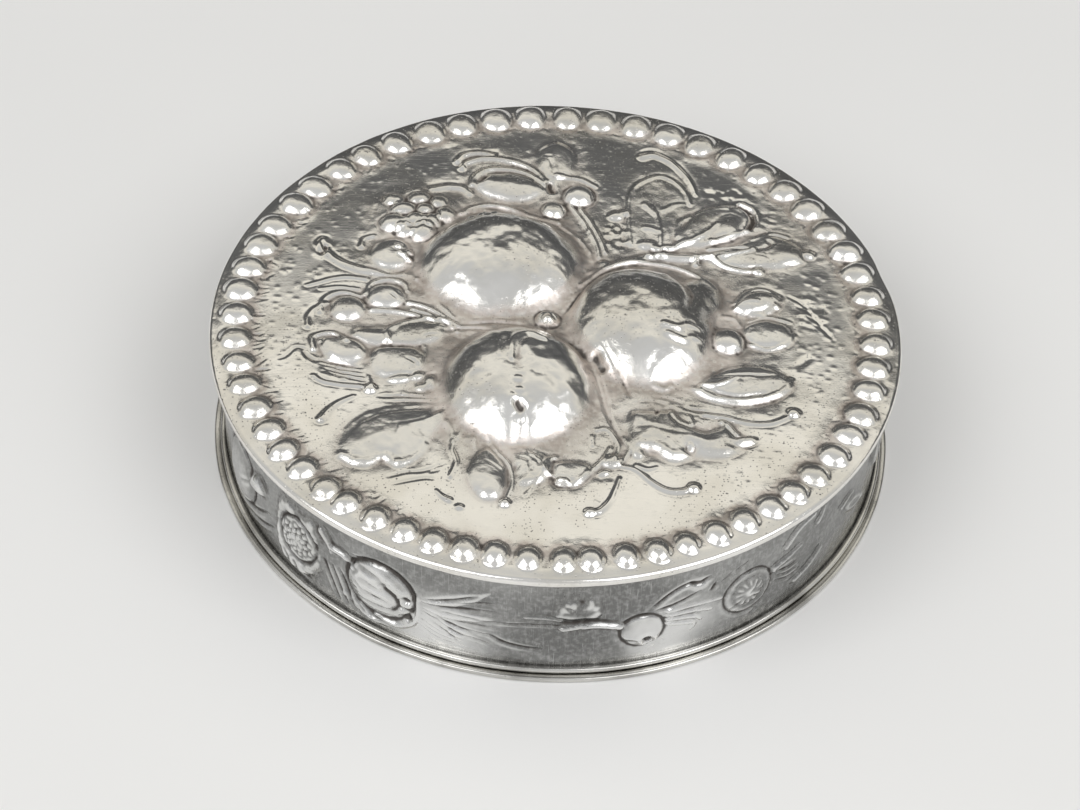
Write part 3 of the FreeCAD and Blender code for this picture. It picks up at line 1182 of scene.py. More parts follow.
# Leaves and tendrils to the left of the fruits
LEFT_LEAVES: list[Motif] = [
    Ridge([(-18.6, 6.8), (-20.4, 7.6), (-24.6, 8), (-28, 9.1), (-30.5, 11.1), (-31.9, 13), (-31.5, 14.1)],
          0.62, 0.25, 0.8),
    Groove([(-31.1, 12.6), (-31.3, 11.6)], 0.4, 0.3, blunt=True),
    Groove([(-20, 7.5), (-24.6, 7.9), (-28, 9), (-30.4, 11)], 0.15, 0.07),
    Ridge([(-25.2, 6.5), (-27.5, 6.8), (-29.5, 6.5), (-31.5, 5.6), (-32.8, 5)], 0.3, 0.15, 0.7),
    Ridge([(-26, 4.6), (-28.6, 4.9), (-31, 4.4)], 0.25, 0.08, 0.7),
    Ridge([(-19.4, 2.2), (-17.2, 1.6), (-14.6, -0.2), (-12.6, -2)], 0.4, 0.3, 0.7),
    Ridge([(-18.8, 1), (-16.6, 0.2), (-14, -1.4), (-12.6, -3.2)], 0.35, 0.28, 0.7),
    Ridge([(-24, 0.6), (-20.6, 0.5), (-17, -0.4), (-14.4, -2.4)], 0.45, 0.28, 0.7),
    Ridge([(-18.4, 6.6), (-16.8, 4.6), (-15.4, 2.2), (-13.4, -0.4)], 0.4, 0.3, 0.8),
    Leaf([(-14.2, -1.6), (-18, -1), (-22, -2.2), (-26, -2.8), (-26.4, -4.8), (-23, -6.4), (-18, -6),
          (-14.6, -4.6)], 0.2, crown=0.35),
    Ridge([(-14, -1.2), (-17, -0.8), (-20, -1.8), (-21.6, -3.6), (-21.6, -5.3)], 0.5, 0.3, 1),
    Leaf([(-30.6, -5.4), (-28.4, -4.6), (-25.4, -5.2), (-24, -7.6), (-26, -9.6), (-29, -8.8)],
         0.35, crown=0.35),
    Ridge([(-31, -7), (-31.3, -5.2), (-30.5, -4.3), (-28.8, -3.9), (-27.3, -4.9), (-26.7, -5.8)],
          0.42, 0.32, 0.8),
    Groove([(-30.2, -6.4), (-29.6, -5.2), (-28.2, -5)], 0.25, 0.15),
    Leaf([(-17.8, -6.2), (-23, -6.4), (-23.6, -9.6), (-21.8, -12), (-18, -11.6), (-16.2, -8.8)],
         0.3, crown=0.4, lean=(0, 0.03)),
    Ridge([(-16.8, -5.8), (-16.6, -7.4), (-17.4, -9.4)], 0.3, 0.15, 0.7),
    Groove([(-17.2, -5), (-16.6, -4.2), (-15, -3.8)], 0.16, 0.1),
    Groove([(-19, -8.6), (-17.6, -9.6), (-18.6, -11)], 0.2, 0.12),
    Groove([(-22.8, -6), (-23, -8), (-22.6, -9.8)], 0.16, 0.08),
    Dome(-19.6, -12, 1.6, 0.7, 0.35, turn=12),
    Dome(-17.3, -11.4, 1, 0.7, 0.35, turn=30),
    *(Groove([(-30.4 + 0.5 * k, -8.8 - 0.75 * k), (-27.8 + 0.4 * k, -9.6 - 0.75 * k),
              (-24.6 + 0.2 * k, -10.2 - 0.75 * k)], 0.2, 0.12) for k in range(4)),
    Stipple(-27.2, -11.2, 3.2, 1.8, 0.03, 0.25),
    Ridge([(-29.8, 1.8), (-31.4, 0.6), (-32.2, -1), (-32.1, -2.8)], 0.28, 0.13, 1.3),
    Ridge([(-30.6, -11.8), (-29.4, -12.8), (-27, -13.3), (-24.4, -13.5), (-23.2, -13.9)],
          0.24, 0.15, 1.2, ball=0.85),
    Ridge([(-23.6, -11.6), (-23.4, -12.6), (-23.1, -13.4)], 0.2, 0.12, 1.6),
    Ridge([(-25.2, -15.2), (-27, -16.5), (-28.2, -18), (-29, -19.6)], 0.18, 0.1, 3),
    Groove([(-35.2, -9), (-34.4, -8.4), (-33.2, -6.8), (-31.6, -7.2)], 0.16, 0.1),
    Groove([(-32.4, -7), (-31.6, -8.4), (-30.4, -9.2)], 0.22, 0.14),
    Stipple(-18.6, -14.4, 3.8, 0.9, 0.02, 0.3),
    Groove([(-22, -15.2), (-18, -15), (-14, -15.4)], 0.22, 0.1),
    Groove([(-21, -16.2), (-17.6, -15.8), (-13.4, -16)], 0.2, 0.08),
]

# Leaves and tendrils to the right of the fruits
RIGHT_LEAVES: list[Motif] = [
    Leaf([(23, 3.8), (24.4, 6.4), (27, 7.4), (29.4, 6.2), (28.6, 4.2), (26.2, 2.8), (24, 2.6)],
         0.25, crown=0.5, edge=0.8),
    Ridge([(23.2, 4.6), (24.8, 6.8), (27, 7.7), (29.2, 6.6)], 0.3, 0.18, 0.9),
    Ridge([(23.2, 3.4), (24.6, 4.6), (26.4, 4.8)], 0.3, 0.18, 0.7),
    Ridge([(25.6, 2.6), (27.4, 3.2), (28.8, 4.6)], 0.35, 0.18, 1.1, ball=0.5),
    Leaf([(24.4, 0.4), (26.8, 1.9), (30, 1.1), (30.8, -1.2), (29, -3.2), (26, -3.4), (24.2, -1.6)],
         0.25, crown=0.4, edge=0.8),
    Ridge([(24.8, -2.8), (27.4, -3.6), (30, -2.4), (30.9, -0.6)], 0.3, 0.18, 0.8),
    Ridge([(25.2, 1.6), (27.6, 2.6), (30.4, 1.8)], 0.3, 0.15, 0.8),
    Ridge([(20.6, 0.2), (21.6, 1.9), (23.2, 1.9), (23.9, 0.6)], 0.4, 0.25, 0.8),
    Leaf([(18, -11.4), (20.4, -8.4), (23.4, -7), (26.8, -6.9), (30, -8.6), (29.8, -11), (27, -13.2),
          (23.4, -14), (20, -13.2)], 0.22, crown=0.6, edge=0.8),
    Ridge([(17.8, -11.4), (20, -13), (23.4, -13.6), (27, -12.7), (29.6, -10.9), (30.3, -8.9)],
          0.45, 0.24, 0.9, chase=0.04),
    Groove([(19.4, -11.6), (21.4, -12.6), (24, -12.9), (27, -12)], 0.25, 0.12),
    Groove([(20.4, -9.5), (23.4, -9.2), (26.4, -9), (29, -8.6)], 0.2, 0.12),
    Ridge([(18.8, -10.9), (20.6, -11.2), (22.2, -10.5), (23.4, -9.6)], 0.35, 0.22, 0.7),
    Ridge([(19.2, -16), (22, -16.4), (25, -17.1), (27.6, -16.9), (29.8, -15.6), (30.5, -14.9)],
          0.35, 0.16, 0.8, ball=0.85),
    Leaf([(9.6, -16.4), (12.6, -15.6), (15, -15.7), (15.9, -17.2), (17.5, -18.2), (19.2, -18.8),
          (21.2, -17.8), (22.2, -17.1), (23.5, -19.4), (25.8, -19.8), (23.6, -21.2), (22.6, -22.6),
          (20.4, -23.2), (18.4, -22.8), (17.4, -22.4), (17, -23.6), (15, -24.4), (13, -22.9), (11.6, -22.8),
          (10.4, -23.8), (9.4, -22)], 0.28, crown=0.55, edge=1.2, frill=0.04),
    Ridge([(14.9, -15.8), (16, -17.5), (17.6, -18), (17.2, -16.4)], 0.35, 0.22, 0.8),
    Ridge([(21.4, -17.1), (22.6, -18.4), (23.3, -19.3)], 0.4, 0.28, 1),
    Dome(24.4, -20.4, 1.5, 0.8, 0.3, turn=22, added=True),
    Ridge([(11.4, -22.2), (13.2, -22.3), (15.2, -23.6), (17, -23.2)], 0.75, 0.16, 0.9, chase=0.02),
    Ridge([(18.4, -22.6), (20.8, -22.8), (23, -21.8), (23.8, -20.8)], 0.7, 0.15, 0.9, chase=0.02),
    Dome(17.4, -22.1, 0.5, 0.7, 0.25, added=True),
    Dome(10.9, -23.2, 0.8, 0.9, 0.3),
    Groove([(13.3, -15.3), (13.1, -16.8)], 0.25, 0.2),
    Groove([(10.8, -18.8), (14, -19.4), (18, -20.2)], 0.3, 0.06),
    Groove([(10, -14.6), (12.4, -14), (14.6, -14.6)], 0.2, 0.12),
    Groove([(12, -13.4), (14.6, -13.4), (17, -14.6)], 0.25, 0.12),
    Groove([(15.6, -14.4), (17.6, -15.2), (19.6, -15.4)], 0.25, 0.12),
    Stipple(14, -14.2, 4.4, 1.4, 0.03, 0.25),
    Stipple(20, -16.9, 3.2, 0.9, 0.025, 0.25),
    *(Groove([(30.4 + 1.1 * k, 6.8 - 1.7 * k), (32 + k, 5.6 - 1.7 * k), (33.4 + 0.9 * k, 3.8 - 1.7 * k)],
             0.2, 0.05) for k in range(4)),
    Groove([(31.4, -6.6), (32.2, -5.4), (33, -4.4)], 0.45, 0.05),
    Stipple(33.4, 4, 2.8, 4.6, 0.012, 0.3),
]

# Leaves and tendrils in the near half of the lid's picture
FRONT_LEAVES: list[Motif] = [
    Leaf([(-13, -17), (-16, -16.9), (-20, -17.4), (-23.8, -19.2), (-25.8, -22), (-26.2, -25.6),
          (-24.4, -27.1), (-22.8, -27.2), (-21.4, -26.2), (-20, -26.3), (-18.6, -27.1), (-16.8, -25.8),
          (-15, -22.4), (-13.4, -19.6)], 0.2, crown=0.6),
    Ridge([(-12.8, -16.5), (-17, -16.7), (-21, -17.6), (-23.6, -18.9), (-25.5, -21.2), (-26.1, -25)],
          0.5, 0.1, 0.9),
    Ridge([(-26, -25.6), (-24.4, -26.7), (-22.8, -26.8), (-21.4, -25.8)], 0.6, 0.22, 0.8, chase=0.02),
    Ridge([(-20.4, -25.8), (-18.6, -26.7), (-16.8, -25.5), (-15.6, -23.4)], 0.6, 0.22, 0.6, chase=0.02),
    Groove([(-14, -17.4), (-15.6, -18.8), (-18, -20), (-20.8, -20.4)], 0.14, 0.09),
    Groove([(-19.4, -20.4), (-19.5, -21.9)], 0.14, 0.08),
    Groove([(-14, -17.1), (-15.4, -18.1)], 0.35, 0.22),
    Leaf([(-8, -23.4), (-10, -25.8), (-10.2, -29), (-8.4, -32), (-6.2, -31.8), (-5.2, -28.8),
          (-5.8, -25.6)], 0.22, crown=0.5, edge=0.8),
    Groove([(-8, -26.2), (-6.8, -27), (-5.6, -27.9)], 0.16, 0.1),
    Ridge([(-11.4, -21.2), (-12.3, -23.6), (-11.7, -26.2), (-12.3, -28.6)], 0.42, 0.25, 0.7),
    Ridge([(-9.6, -21.2), (-9.5, -23.6)], 0.4, 0.3, 0.6),
    Ridge([(-7.9, -22), (-6.6, -24.2), (-5, -26.4), (-4.6, -29.6), (-5.4, -32.6)],
          0.36, 0.24, 0.9, ball=0.7),
    Ridge([(-13.2, -19.4), (-12.4, -21.2), (-12.4, -22.6)], 0.5, 0.25, 0.7),
    Leaf([(-5, -24.2), (-1, -23.8), (0.6, -26.2), (-0.6, -28.8), (-3.6, -29.6), (-4.4, -27.2)],
         0.2, crown=0.3, lean=(0, -0.03)),
    Ridge([(-4, -23.2), (-1.6, -25.2), (-1, -27.6), (-3, -31.2)], 0.28, 0.15, 0.6),
    Groove([(-4.2, -24.8), (-2.8, -25.6), (-2.4, -27.4)], 0.2, 0.14),
    Groove([(-3.2, -23.8), (-1.8, -24.6), (-1.4, -26.2)], 0.2, 0.14),
    Ridge([(0.6, -24.6), (-0.5, -25.5), (-0.6, -27.1), (0.7, -28)], 0.36, 0.25, 0.8),
    Leaf([(0.6, -25.6), (4.4, -25.4), (5, -27), (3.4, -28.8), (0.8, -28.9)], 0.3, crown=0.2, edge=0.7),
    Ridge([(0.9, -28.7), (3, -29), (4.9, -26.8), (6.6, -24.4), (7.4, -22.6)], 0.36, 0.22, 0.8),
    Dome(1.6, -28.9, 1, 0.6, 0.25, added=True),
    Dome(7.7, -24.8, 1.4, 1.1, 0.4, turn=20),
    Dome(6.7, -26.8, 0.8, 0.5, 0.25, turn=25),
    Ridge([(5.1, -20.8), (5.2, -22.2)], 0.35, 0.2, 0.7),
    Ridge([(5.6, -19.6), (7, -19.4), (8.4, -22), (8, -24.4)], 0.3, 0.18, 0.8),
    Ridge([(8.4, -25.2), (9.8, -22.8), (9, -20.6)], 0.3, 0.18, 0.7),
    Ridge([(8.6, -25.5), (10.6, -26.1), (12.6, -28.1), (14.4, -29.3), (16.2, -29.4), (17.8, -28.7)],
          0.24, 0.14, 1.8, ball=0.85),
    Ridge([(10.6, -25.4), (12, -25.9), (13.2, -25.5)], 0.3, 0.14, 0.6),
    Ridge([(8.6, -27.6), (8.1, -29.6), (7.4, -31.7), (6.2, -33.3), (5, -33.6)], 0.22, 0.12, 2.2, ball=0.7),
    Groove([(-20, -29), (-17.8, -28.1), (-15.5, -27.7), (-13, -26.3)], 0.18, 0.1),
    Groove([(-19.4, -30.2), (-17, -29.4), (-15.4, -29), (-14, -29.1)], 0.16, 0.08),
    Groove([(-15, -28), (-13.6, -27.4)], 0.16, 0.08),
    Ridge([(-13.9, -31), (-13, -32), (-12.2, -32.5)], 0.2, 0.1, 2),
    Dome(-10.9, -33.6, 0.5, 0.4, 0.18),
    Stipple(-9, -22.4, 6, 1.6, 0.025, 0.25),
    Stipple(-2.4, -26.4, 2.6, 2.4, 0.02, 0.25),
]


@dataclass
class Beading:
    """The row of hollow beads along the lid's border.

    Attributes:
        circle: Radius of the row, in millimetres.
        count: How many beads.
        radius: Mean radius of a bead.
        unevenness: Hand spacing: beads grow towards the back and shrink towards the front.
        start: Where the row begins, in beads from the right.
        outward: How far a bead is drawn out towards the edge: its middle moves and its half length grows by
            this, so that its inner end stays.
        rise: Mean height of a bead, as a share of its radius.
        flatter: How much less of it the beads have at the back, and how much more at the front.
        fullness: How broad the top of a bead is; 2 is part of a ball.
        fuller: How much broader it is at the back, and narrower at the front.
        strokes: How many fine strokes set the beads off from the ground.
        strong_side: Direction in which those strokes are strongest, in degrees from the right.
    """

    circle: float = 41.3
    count: int = 59
    radius: float = 1.98
    unevenness: float = 0.11
    start: float = 1.7
    outward: float = 0.28
    rise: float = 0.5
    flatter: float = 0.07
    fullness: float = 2.45
    fuller: float = 0.25
    strokes: int = 420
    strong_side: float = 192.0

    def press(self, relief: ReliefMap) -> None:
        """Raise the beads, each a little different.

        Args:
            relief: The relief to work on.
        """
        draw = np.random.default_rng(SEED + 60)
        beads: list[Dome] = []
        for index in range(self.count):
            even = 2 * math.pi * (index + self.start) / self.count
            back = math.sin(even)
            angle = even - self.unevenness * math.cos(even) + draw.normal(0, 0.0035)
            size = self.radius * (1 + self.unevenness * back) * draw.normal(1, 0.025)
            circle = self.circle + self.outward + draw.normal(0, 0.07)
            half_depth = size * draw.normal(1.0, 0.03)
            bead = Dome(
                circle * math.cos(angle), circle * math.sin(angle), size + self.outward, half_depth,
                rise=size * draw.normal(self.rise - self.flatter * back, 0.025), turn=math.degrees(angle),
                fullness=self.fullness + self.fuller * back, chase=0, fillet=0.16,
            )
            bead.press(relief)
            beads.append(bead)
        self._surround(relief, beads)
        self._strokes(relief, draw)

    def _surround(self, relief: ReliefMap, beads: list[Dome]) -> None:
        """Leave a haze of old polish on the ground round the inner side of the beads.

        Args:
            relief: The relief to work on.
            beads: The beads.
        """
        past = np.full(relief.height.shape, 9.0)
        for bead in beads:
            size = bead.half_width
            corners = np.array([[bead.x - size, bead.y - size], [bead.x + size, bead.y + size]])
            part = relief.window(corners, 3.0)
            edge = np.hypot(relief.x[part] - bead.x, relief.y[part] - bead.y) - size
            past[part] = np.minimum(past[part], edge)
        inner = smooth_step(0.8, -0.6, np.hypot(relief.x, relief.y) - self.circle)
        relief.haze += inner * smooth_step(-0.1, 0.15, past) * np.exp(-((past / 0.9) ** 2))

    def _strokes(self, relief: ReliefMap, draw: np.random.Generator) -> None:
        """Cut the fine feathery strokes that set the beads off from the ground.

        Args:
            relief: The relief to cut into.
            draw: Source of their unevenness.
        """
        inner = self.circle - self.radius
        for angle in draw.uniform(0, 2 * math.pi, self.strokes):
            strong = 0.35 + 0.65 * max(0.0, math.cos(angle - math.radians(self.strong_side))) ** 2
            start = inner + draw.uniform(-0.1, 0.5)
            end = inner - draw.uniform(0.3, 1.5) * strong
            twist = angle + draw.normal(0, 0.02)
            line = [
                (start * math.cos(angle), start * math.sin(angle)),
                (end * math.cos(twist), end * math.sin(twist)),
            ]
            Groove(line, draw.uniform(0.1, 0.17), 0.12 * strong * draw.uniform(0.5, 1.3)).press(relief)


@dataclass
class Lid:
    """The embossed sheet with its turned-down edge, and what is soldered under it.

    Attributes:
        sheet: Thickness of the sheet, in millimetres.
        raster_step: Spacing of the relief's raster.
        picture: Radius of the even inner net of the mesh.
        net: Points along one side of that net; four sides less their corners meet the rings.
        ring_step: Spacing of the rings round that net.
        land: Radius where the border begins to fall towards the edge.
        border_fall: How far the border falls.
        edge_round: Radius of the edge's rounding.
        lip_ease: Size of the slope that eases the lip's outer and inner corners.
        camber: How far the sheet swells towards its middle.
        hollow_end: Radii between which the hollows of the underside run out.
        edge_waves: Height, number and phase of the waves round the hand-made edge.
        dent: Direction and width in degrees, and depth in millimetres, of a dent in the edge.
        top_map: Middle of the upper face in the map, and millimetres for the map's whole width.
        under_map: The same for the underside.
        beading: The row of beads.
    """

    sheet: float = 0.7
    raster_step: float = 0.1
    picture: float = 37.6
    net: int = 401
    ring_step: float = 0.16
    land: float = 42.9
    border_fall: float = 0.3
    edge_round: float = 0.62
    lip_ease: float = 0.12
    camber: float = 0.3
    hollow_end: tuple[float, float] = (37.5, 39.0)
    edge_waves: tuple[tuple[float, int, float], ...] = ((0.07, 2, 0.6), (0.05, 3, 2.0), (0.03, 7, 0.0))
    dent: tuple[float, float, float] = (15.5, 4.0, 0.28)
    top_map: tuple[float, float] = (0.335, 140.0)
    under_map: tuple[float, float] = (0.83, 290.0)
    beading: Beading = field(default_factory=Beading)

    def __post_init__(self) -> None:
        """Take the sizes that the frame gives."""
        low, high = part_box("lid_plate")
        self.radius = (high.x - low.x) / 2 / MM
        self.lip = low.z / MM
        self.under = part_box("wall_band")[1].z / MM
        self.ground = self.under + self.sheet
        self.maker = MeshMaker()

    def relief(self) -> ReliefMap:
        """Press the whole picture into a raster.

        Returns:
            The relief of the lid's upper face, with stains.
        """
        reach = self.radius + 1
        relief = ReliefMap((-reach, -reach), (reach, reach), self.raster_step)
        press_all(BACK_LEAVES + LEFT_LEAVES + RIGHT_LEAVES + FRONT_LEAVES, relief)
        press_all(FRUITS + BERRIES, relief)
        self.beading.press(relief)
        away = np.hypot(relief.x, relief.y)
        worked = relief.blurred((np.abs(relief.height) > 0.07).astype(float), 2.2)
        relief.height = relief.blurred(relief.height, 0.09)
        fruit = relief.blurred(((relief.height > 1.3) & (away < self.picture - 3)).astype(float), 1.2)
        leafy = (1 - smooth_step(0.02, 0.15, fruit)) * smooth_step(self.picture, self.picture - 1.5, away)
        relief.height += 0.3 * leafy * np.clip(relief.standing_out(1.1), -0.2, 0.25)
        self._hammer(relief, away, worked)
        relief.height -= self.border_fall * smooth_step(self.land, self.radius, away)
        relief.height += self.camber * np.clip(1 - (away / self.picture) ** 2, 0, None)
        return relief

    def _hammer(self, relief: ReliefMap, away: Grid, worked: Grid) -> None:
        """Add the unevenness of hand work: soft hammer waves, raised specks and pits.

        Args:
            relief: The relief to work on.
            away: Distance of every raster point from the lid's middle.
            worked: How much of the neighbourhood is raised, from 0 to 1.
        """
        calm = 1 - 0.6 * smooth_step(self.beading.circle + 1, self.radius, away)
        smooth = smooth_step(0.6, 1.6, relief.height) * (away < self.picture)
        busy = smooth_step(0.08, 0.6, worked) * (1 - 0.85 * smooth)
        relief.height += calm * (0.004 + 0.05 * busy + 0.03 * smooth) * relief.noise(2.2, 1)
        relief.height += (0.0008 * calm + 0.03 * busy + 0.036 * smooth) * relief.noise(0.8, 2)
        relief.height += (0.016 * busy + 0.018 * smooth) * relief.noise(0.35, 3)
        bare = 0.6 * (1 - busy) * (away < self.picture)
        relief.height += 0.02 * calm * relief.specks(4500, 0.22, 5, bare)
        pits = relief.specks(5000, 0.13, 4, np.clip(0.9 * busy, 0, 1))
        relief.height -= 0.03 * np.clip(pits, 0, 1.5)
        relief.stain = np.clip(pits, 0, 1) * 0.5
        relief.satin = np.clip(busy + 0.5 * smooth, 0, 1)

    def build(self) -> Piece:
        """Make the sheet's mesh.

        Returns:
            The sheet, with its crevices, hollows and satin places marked on its points.
        """
        relief = self.relief()
        outer = smooth_step(
            self.beading.circle - 1.0, self.beading.circle + 0.6, np.hypot(relief.x, relief.y)
        )
        crevice = np.clip(relief.hollows(0.4, 0.024, 0.18) + 0.5 * relief.stain, 0, 1)
        crevice *= 1 - 0.75 * outer
        tarnish_and_sheen = np.maximum(relief.hollows(2.6, 0.06, 0.6), 0.7 * relief.hollows(0.9, 0.03, 0.2))
        tarnish_and_sheen = np.maximum(tarnish_and_sheen * (1 - 0.6 * outer), 0.75 * relief.haze)
        self._underside(relief, self._top(relief))
        piece = self.maker.make("embossed_lid")
        points = np.concatenate(self.maker.points) / MM
        top = points[:, 2] > self.ground - 0.4
        for name, grid, below in (
            ("crevice", crevice, 0.15),
            ("tarnish_and_sheen", tarnish_and_sheen, 0.1),
            ("satin", relief.satin, 0.3),
        ):
            mark(piece, name, np.where(top, relief.sample(grid, points[:, 0], points[:, 1]), below))
        return piece

    def _wobble(self, angle: Grid) -> Grid:
        """Measure how far the hand-made edge stands out or in.

        Args:
            angle: Angles round the edge.

        Returns:
            The distances in millimetres, with one small dent among them.
        """
        waves = sum(high * np.sin(count * angle + phase) for high, count, phase in self.edge_waves)
        turn, width, depth = self.dent
        away = np.angle(np.exp(1j * (angle - math.radians(turn))))
        return waves - depth * np.exp(-((away / math.radians(width)) ** 2))

    def _top(self, relief: ReliefMap) -> Grid:
        """Add the upper face out to the lip of the turned-down edge.

        The picture is an even square net bent to a disc, and rings go on from there.

        Args:
            relief: The relief of the upper face.

        Returns:
            Point numbers of the lip's outer ring.
        """
        side = np.linspace(-1, 1, self.net)
        across, deep = np.meshgrid(side, side)
        wide = np.abs(across) >= np.abs(deep)
        reach = np.where(wide, across, deep)
        safe = np.where(reach == 0, 1.0, reach)
        turn = np.where(wide, math.pi / 4 * deep / safe, math.pi / 2 - math.pi / 4 * across / safe)
        x, y = self.picture * reach * np.cos(turn), self.picture * reach * np.sin(turn)
        z = self.ground + relief.sample(relief.height, x, y)
        inner = self.maker.add(np.stack([x, y, z], axis=-1) * MM)
        self.maker.net(inner, self._map_top(x, y), closed=False, flip=True)

        last = self.net - 1
        first_ring = np.concatenate(
            [inner[:last, last], inner[last, last:0:-1], inner[last:0:-1, 0], inner[0, :last]]
        )
        angle = self._angles(len(first_ring))
        flat_end = self.radius - self.edge_round
        flat_rings = round((flat_end - self.picture) / self.ring_step) + 1
        bend = np.linspace(0, math.pi / 2, 8)[1:]
        radii = np.concatenate(
            [
                np.linspace(self.picture, flat_end, flat_rings)[1:],
                flat_end + self.edge_round * np.sin(bend),
                [self.radius, self.radius - self.lip_ease],
            ]
        )
        straight = self.ground - self.border_fall - self.lip
        drop = np.zeros(len(radii))
        drop[-9:-2] = self.edge_round * (1 - np.cos(bend))
        drop[-2:] = straight - self.lip_ease, straight
        wobble = self._wobble(angle)[None, :] * smooth_step(self.picture, self.radius, radii)[:, None]
        real = radii[:, None] + wobble
        face = relief.sample(relief.height, real * np.cos(angle), real * np.sin(angle))
        brink = flat_end + wobble[-1]
        edge = relief.sample(relief.height, brink * np.cos(angle), brink * np.sin(angle))
        z = self.ground + np.where(radii[:, None] > flat_end, edge[None, :] - drop[:, None], face)
        z[-1] = self.lip
        rings = self.maker.add(round_points(real, angle, z))
        unrolled = np.maximum.accumulate(radii + np.where(radii >= self.radius - 0.2, drop, 0))
        unrolled = np.append(self.picture, unrolled)[:, None]
        closed = np.append(angle, angle[0])
        places = self._map_top(unrolled * np.cos(closed), unrolled * np.sin(closed))
        self.maker.net(np.vstack([first_ring[None, :], rings]), places, closed=True)
        return rings[-1]

    def _angles(self, count: int) -> Grid:
        """Angles of a ring's points, from the front right corner of the picture's net."""
        return -math.pi / 4 + 2 * math.pi * np.arange(count) / count

    def _map_top(self, x: Grid, y: Grid) -> Grid:
        """Map places of the upper face, in the lower left of the map."""
        middle, span = self.top_map
        return middle + np.stack([x, y], axis=-1) / span

    def _map_under(self, reach: Grid | float, angle: Grid) -> Grid:
        """Map places of the underside, in the upper right of the map."""
        middle, span = self.under_map
        return middle + np.stack([reach * np.cos(angle), reach * np.sin(angle)], axis=-1) / span

    def _underside(self, relief: ReliefMap, rim: Grid) -> None:
        """Add the lip, the inside of the turned-down edge and the hollow underside.

        The rings of the underside lose half of their points again and again on the way to the middle.

        Args:
            relief: The relief of the upper face.
            rim: Point numbers of the lip's outer ring.
        """
        maker = self.maker
        count = len(rim)
        angle = self._angles(count)
        reach = self.radius - self.sheet
        radii = np.array([reach + self.lip_ease, reach, reach])
        depth = np.array([self.lip, self.lip + 0.1, self.under])
        rings = maker.add(round_points(radii[:, None] + self._wobble(angle) * 0.5, angle, depth[:, None]))
        spread = np.array([self.radius + 1.4, reach + 1.0, reach + 0.7, reach])[:, None]
        places = self._map_under(spread, np.append(angle, angle[0]))
        maker.net(np.vstack([rim[None, :], rings]), places, closed=True)

        ring = rings[-1]
        hollow = relief.blurred(relief.lowest_near(relief.height, 0.8), 0.5)
        while len(ring) > 25:
            step = 2 * math.pi * reach / len(ring) * 1.6
            half = angle[:: count // (len(ring) // 2)]
            stop = max(reach * 0.62, 1.2)
            old_at = self._map_under(reach, angle[:: count // len(ring)])
            reach -= step
            rows, spans = [self._under_ring(relief, hollow, reach, half)], [reach]
            maker.halve(ring, rows[0], old_at, self._map_under(reach, half))
            while reach - 2 * step > stop:
                reach -= 2 * step
                rows.append(self._under_ring(relief, hollow, reach, half))
                spans.append(reach)
            if len(rows) > 1:
                places = self._map_under(np.array(spans)[:, None], np.append(half, half[0]))
                maker.net(np.vstack(rows), places, closed=True)
            ring = rows[-1]
        middle = self.under + hollow[hollow.shape[0] // 2, hollow.shape[1] // 2]
        centre = maker.add(np.array([[0.0, 0.0, middle]]) * MM)
        last_at = self._map_under(reach, angle[:: count // len(ring)])
        maker.fan(ring, int(centre[0]), last_at, self._map_under(0.0, np.zeros(1)))

    def _under_ring(self, relief: ReliefMap, hollow: Grid, reach: float, angle: Grid) -> Grid:
        """Add one ring of the underside.

        Args:
            relief: The relief of the upper face.
            hollow: Heights of the hollows hammered up from behind.
            reach: Radius of the ring.
            angle: Angles of its points.

        Returns:
            The ring's point numbers.
        """
        lift = np.clip(relief.sample(hollow, reach * np.cos(angle), reach * np.sin(angle)), 0, None)
        lift *= 1 - smooth_step(*self.hollow_end, reach)
        return self.maker.add(round_points(reach, angle, self.under + lift))

    def dress(
        self, piece: Piece, sheet: SilverFinish, plain: SilverFinish, wire: SilverFinish
    ) -> list[Piece]:
        """Finish the sheet, the bezel and the rim wire.

        Args:
            piece: The sheet.
            sheet: Finish of the embossed sheet.
            plain: Finish of the bezel.
            wire: Finish of the rim wire.

        Returns:
            The three pieces.
        """
        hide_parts("lid_plate")
        dress(piece, sheet.material(), Body.LID)
        bezel = dress_node("lid_bezel", plain.material())
        rim_wire = dress_node("lid_rim_wire", wire.material())
        return [piece, bezel, rim_wire]


# The box


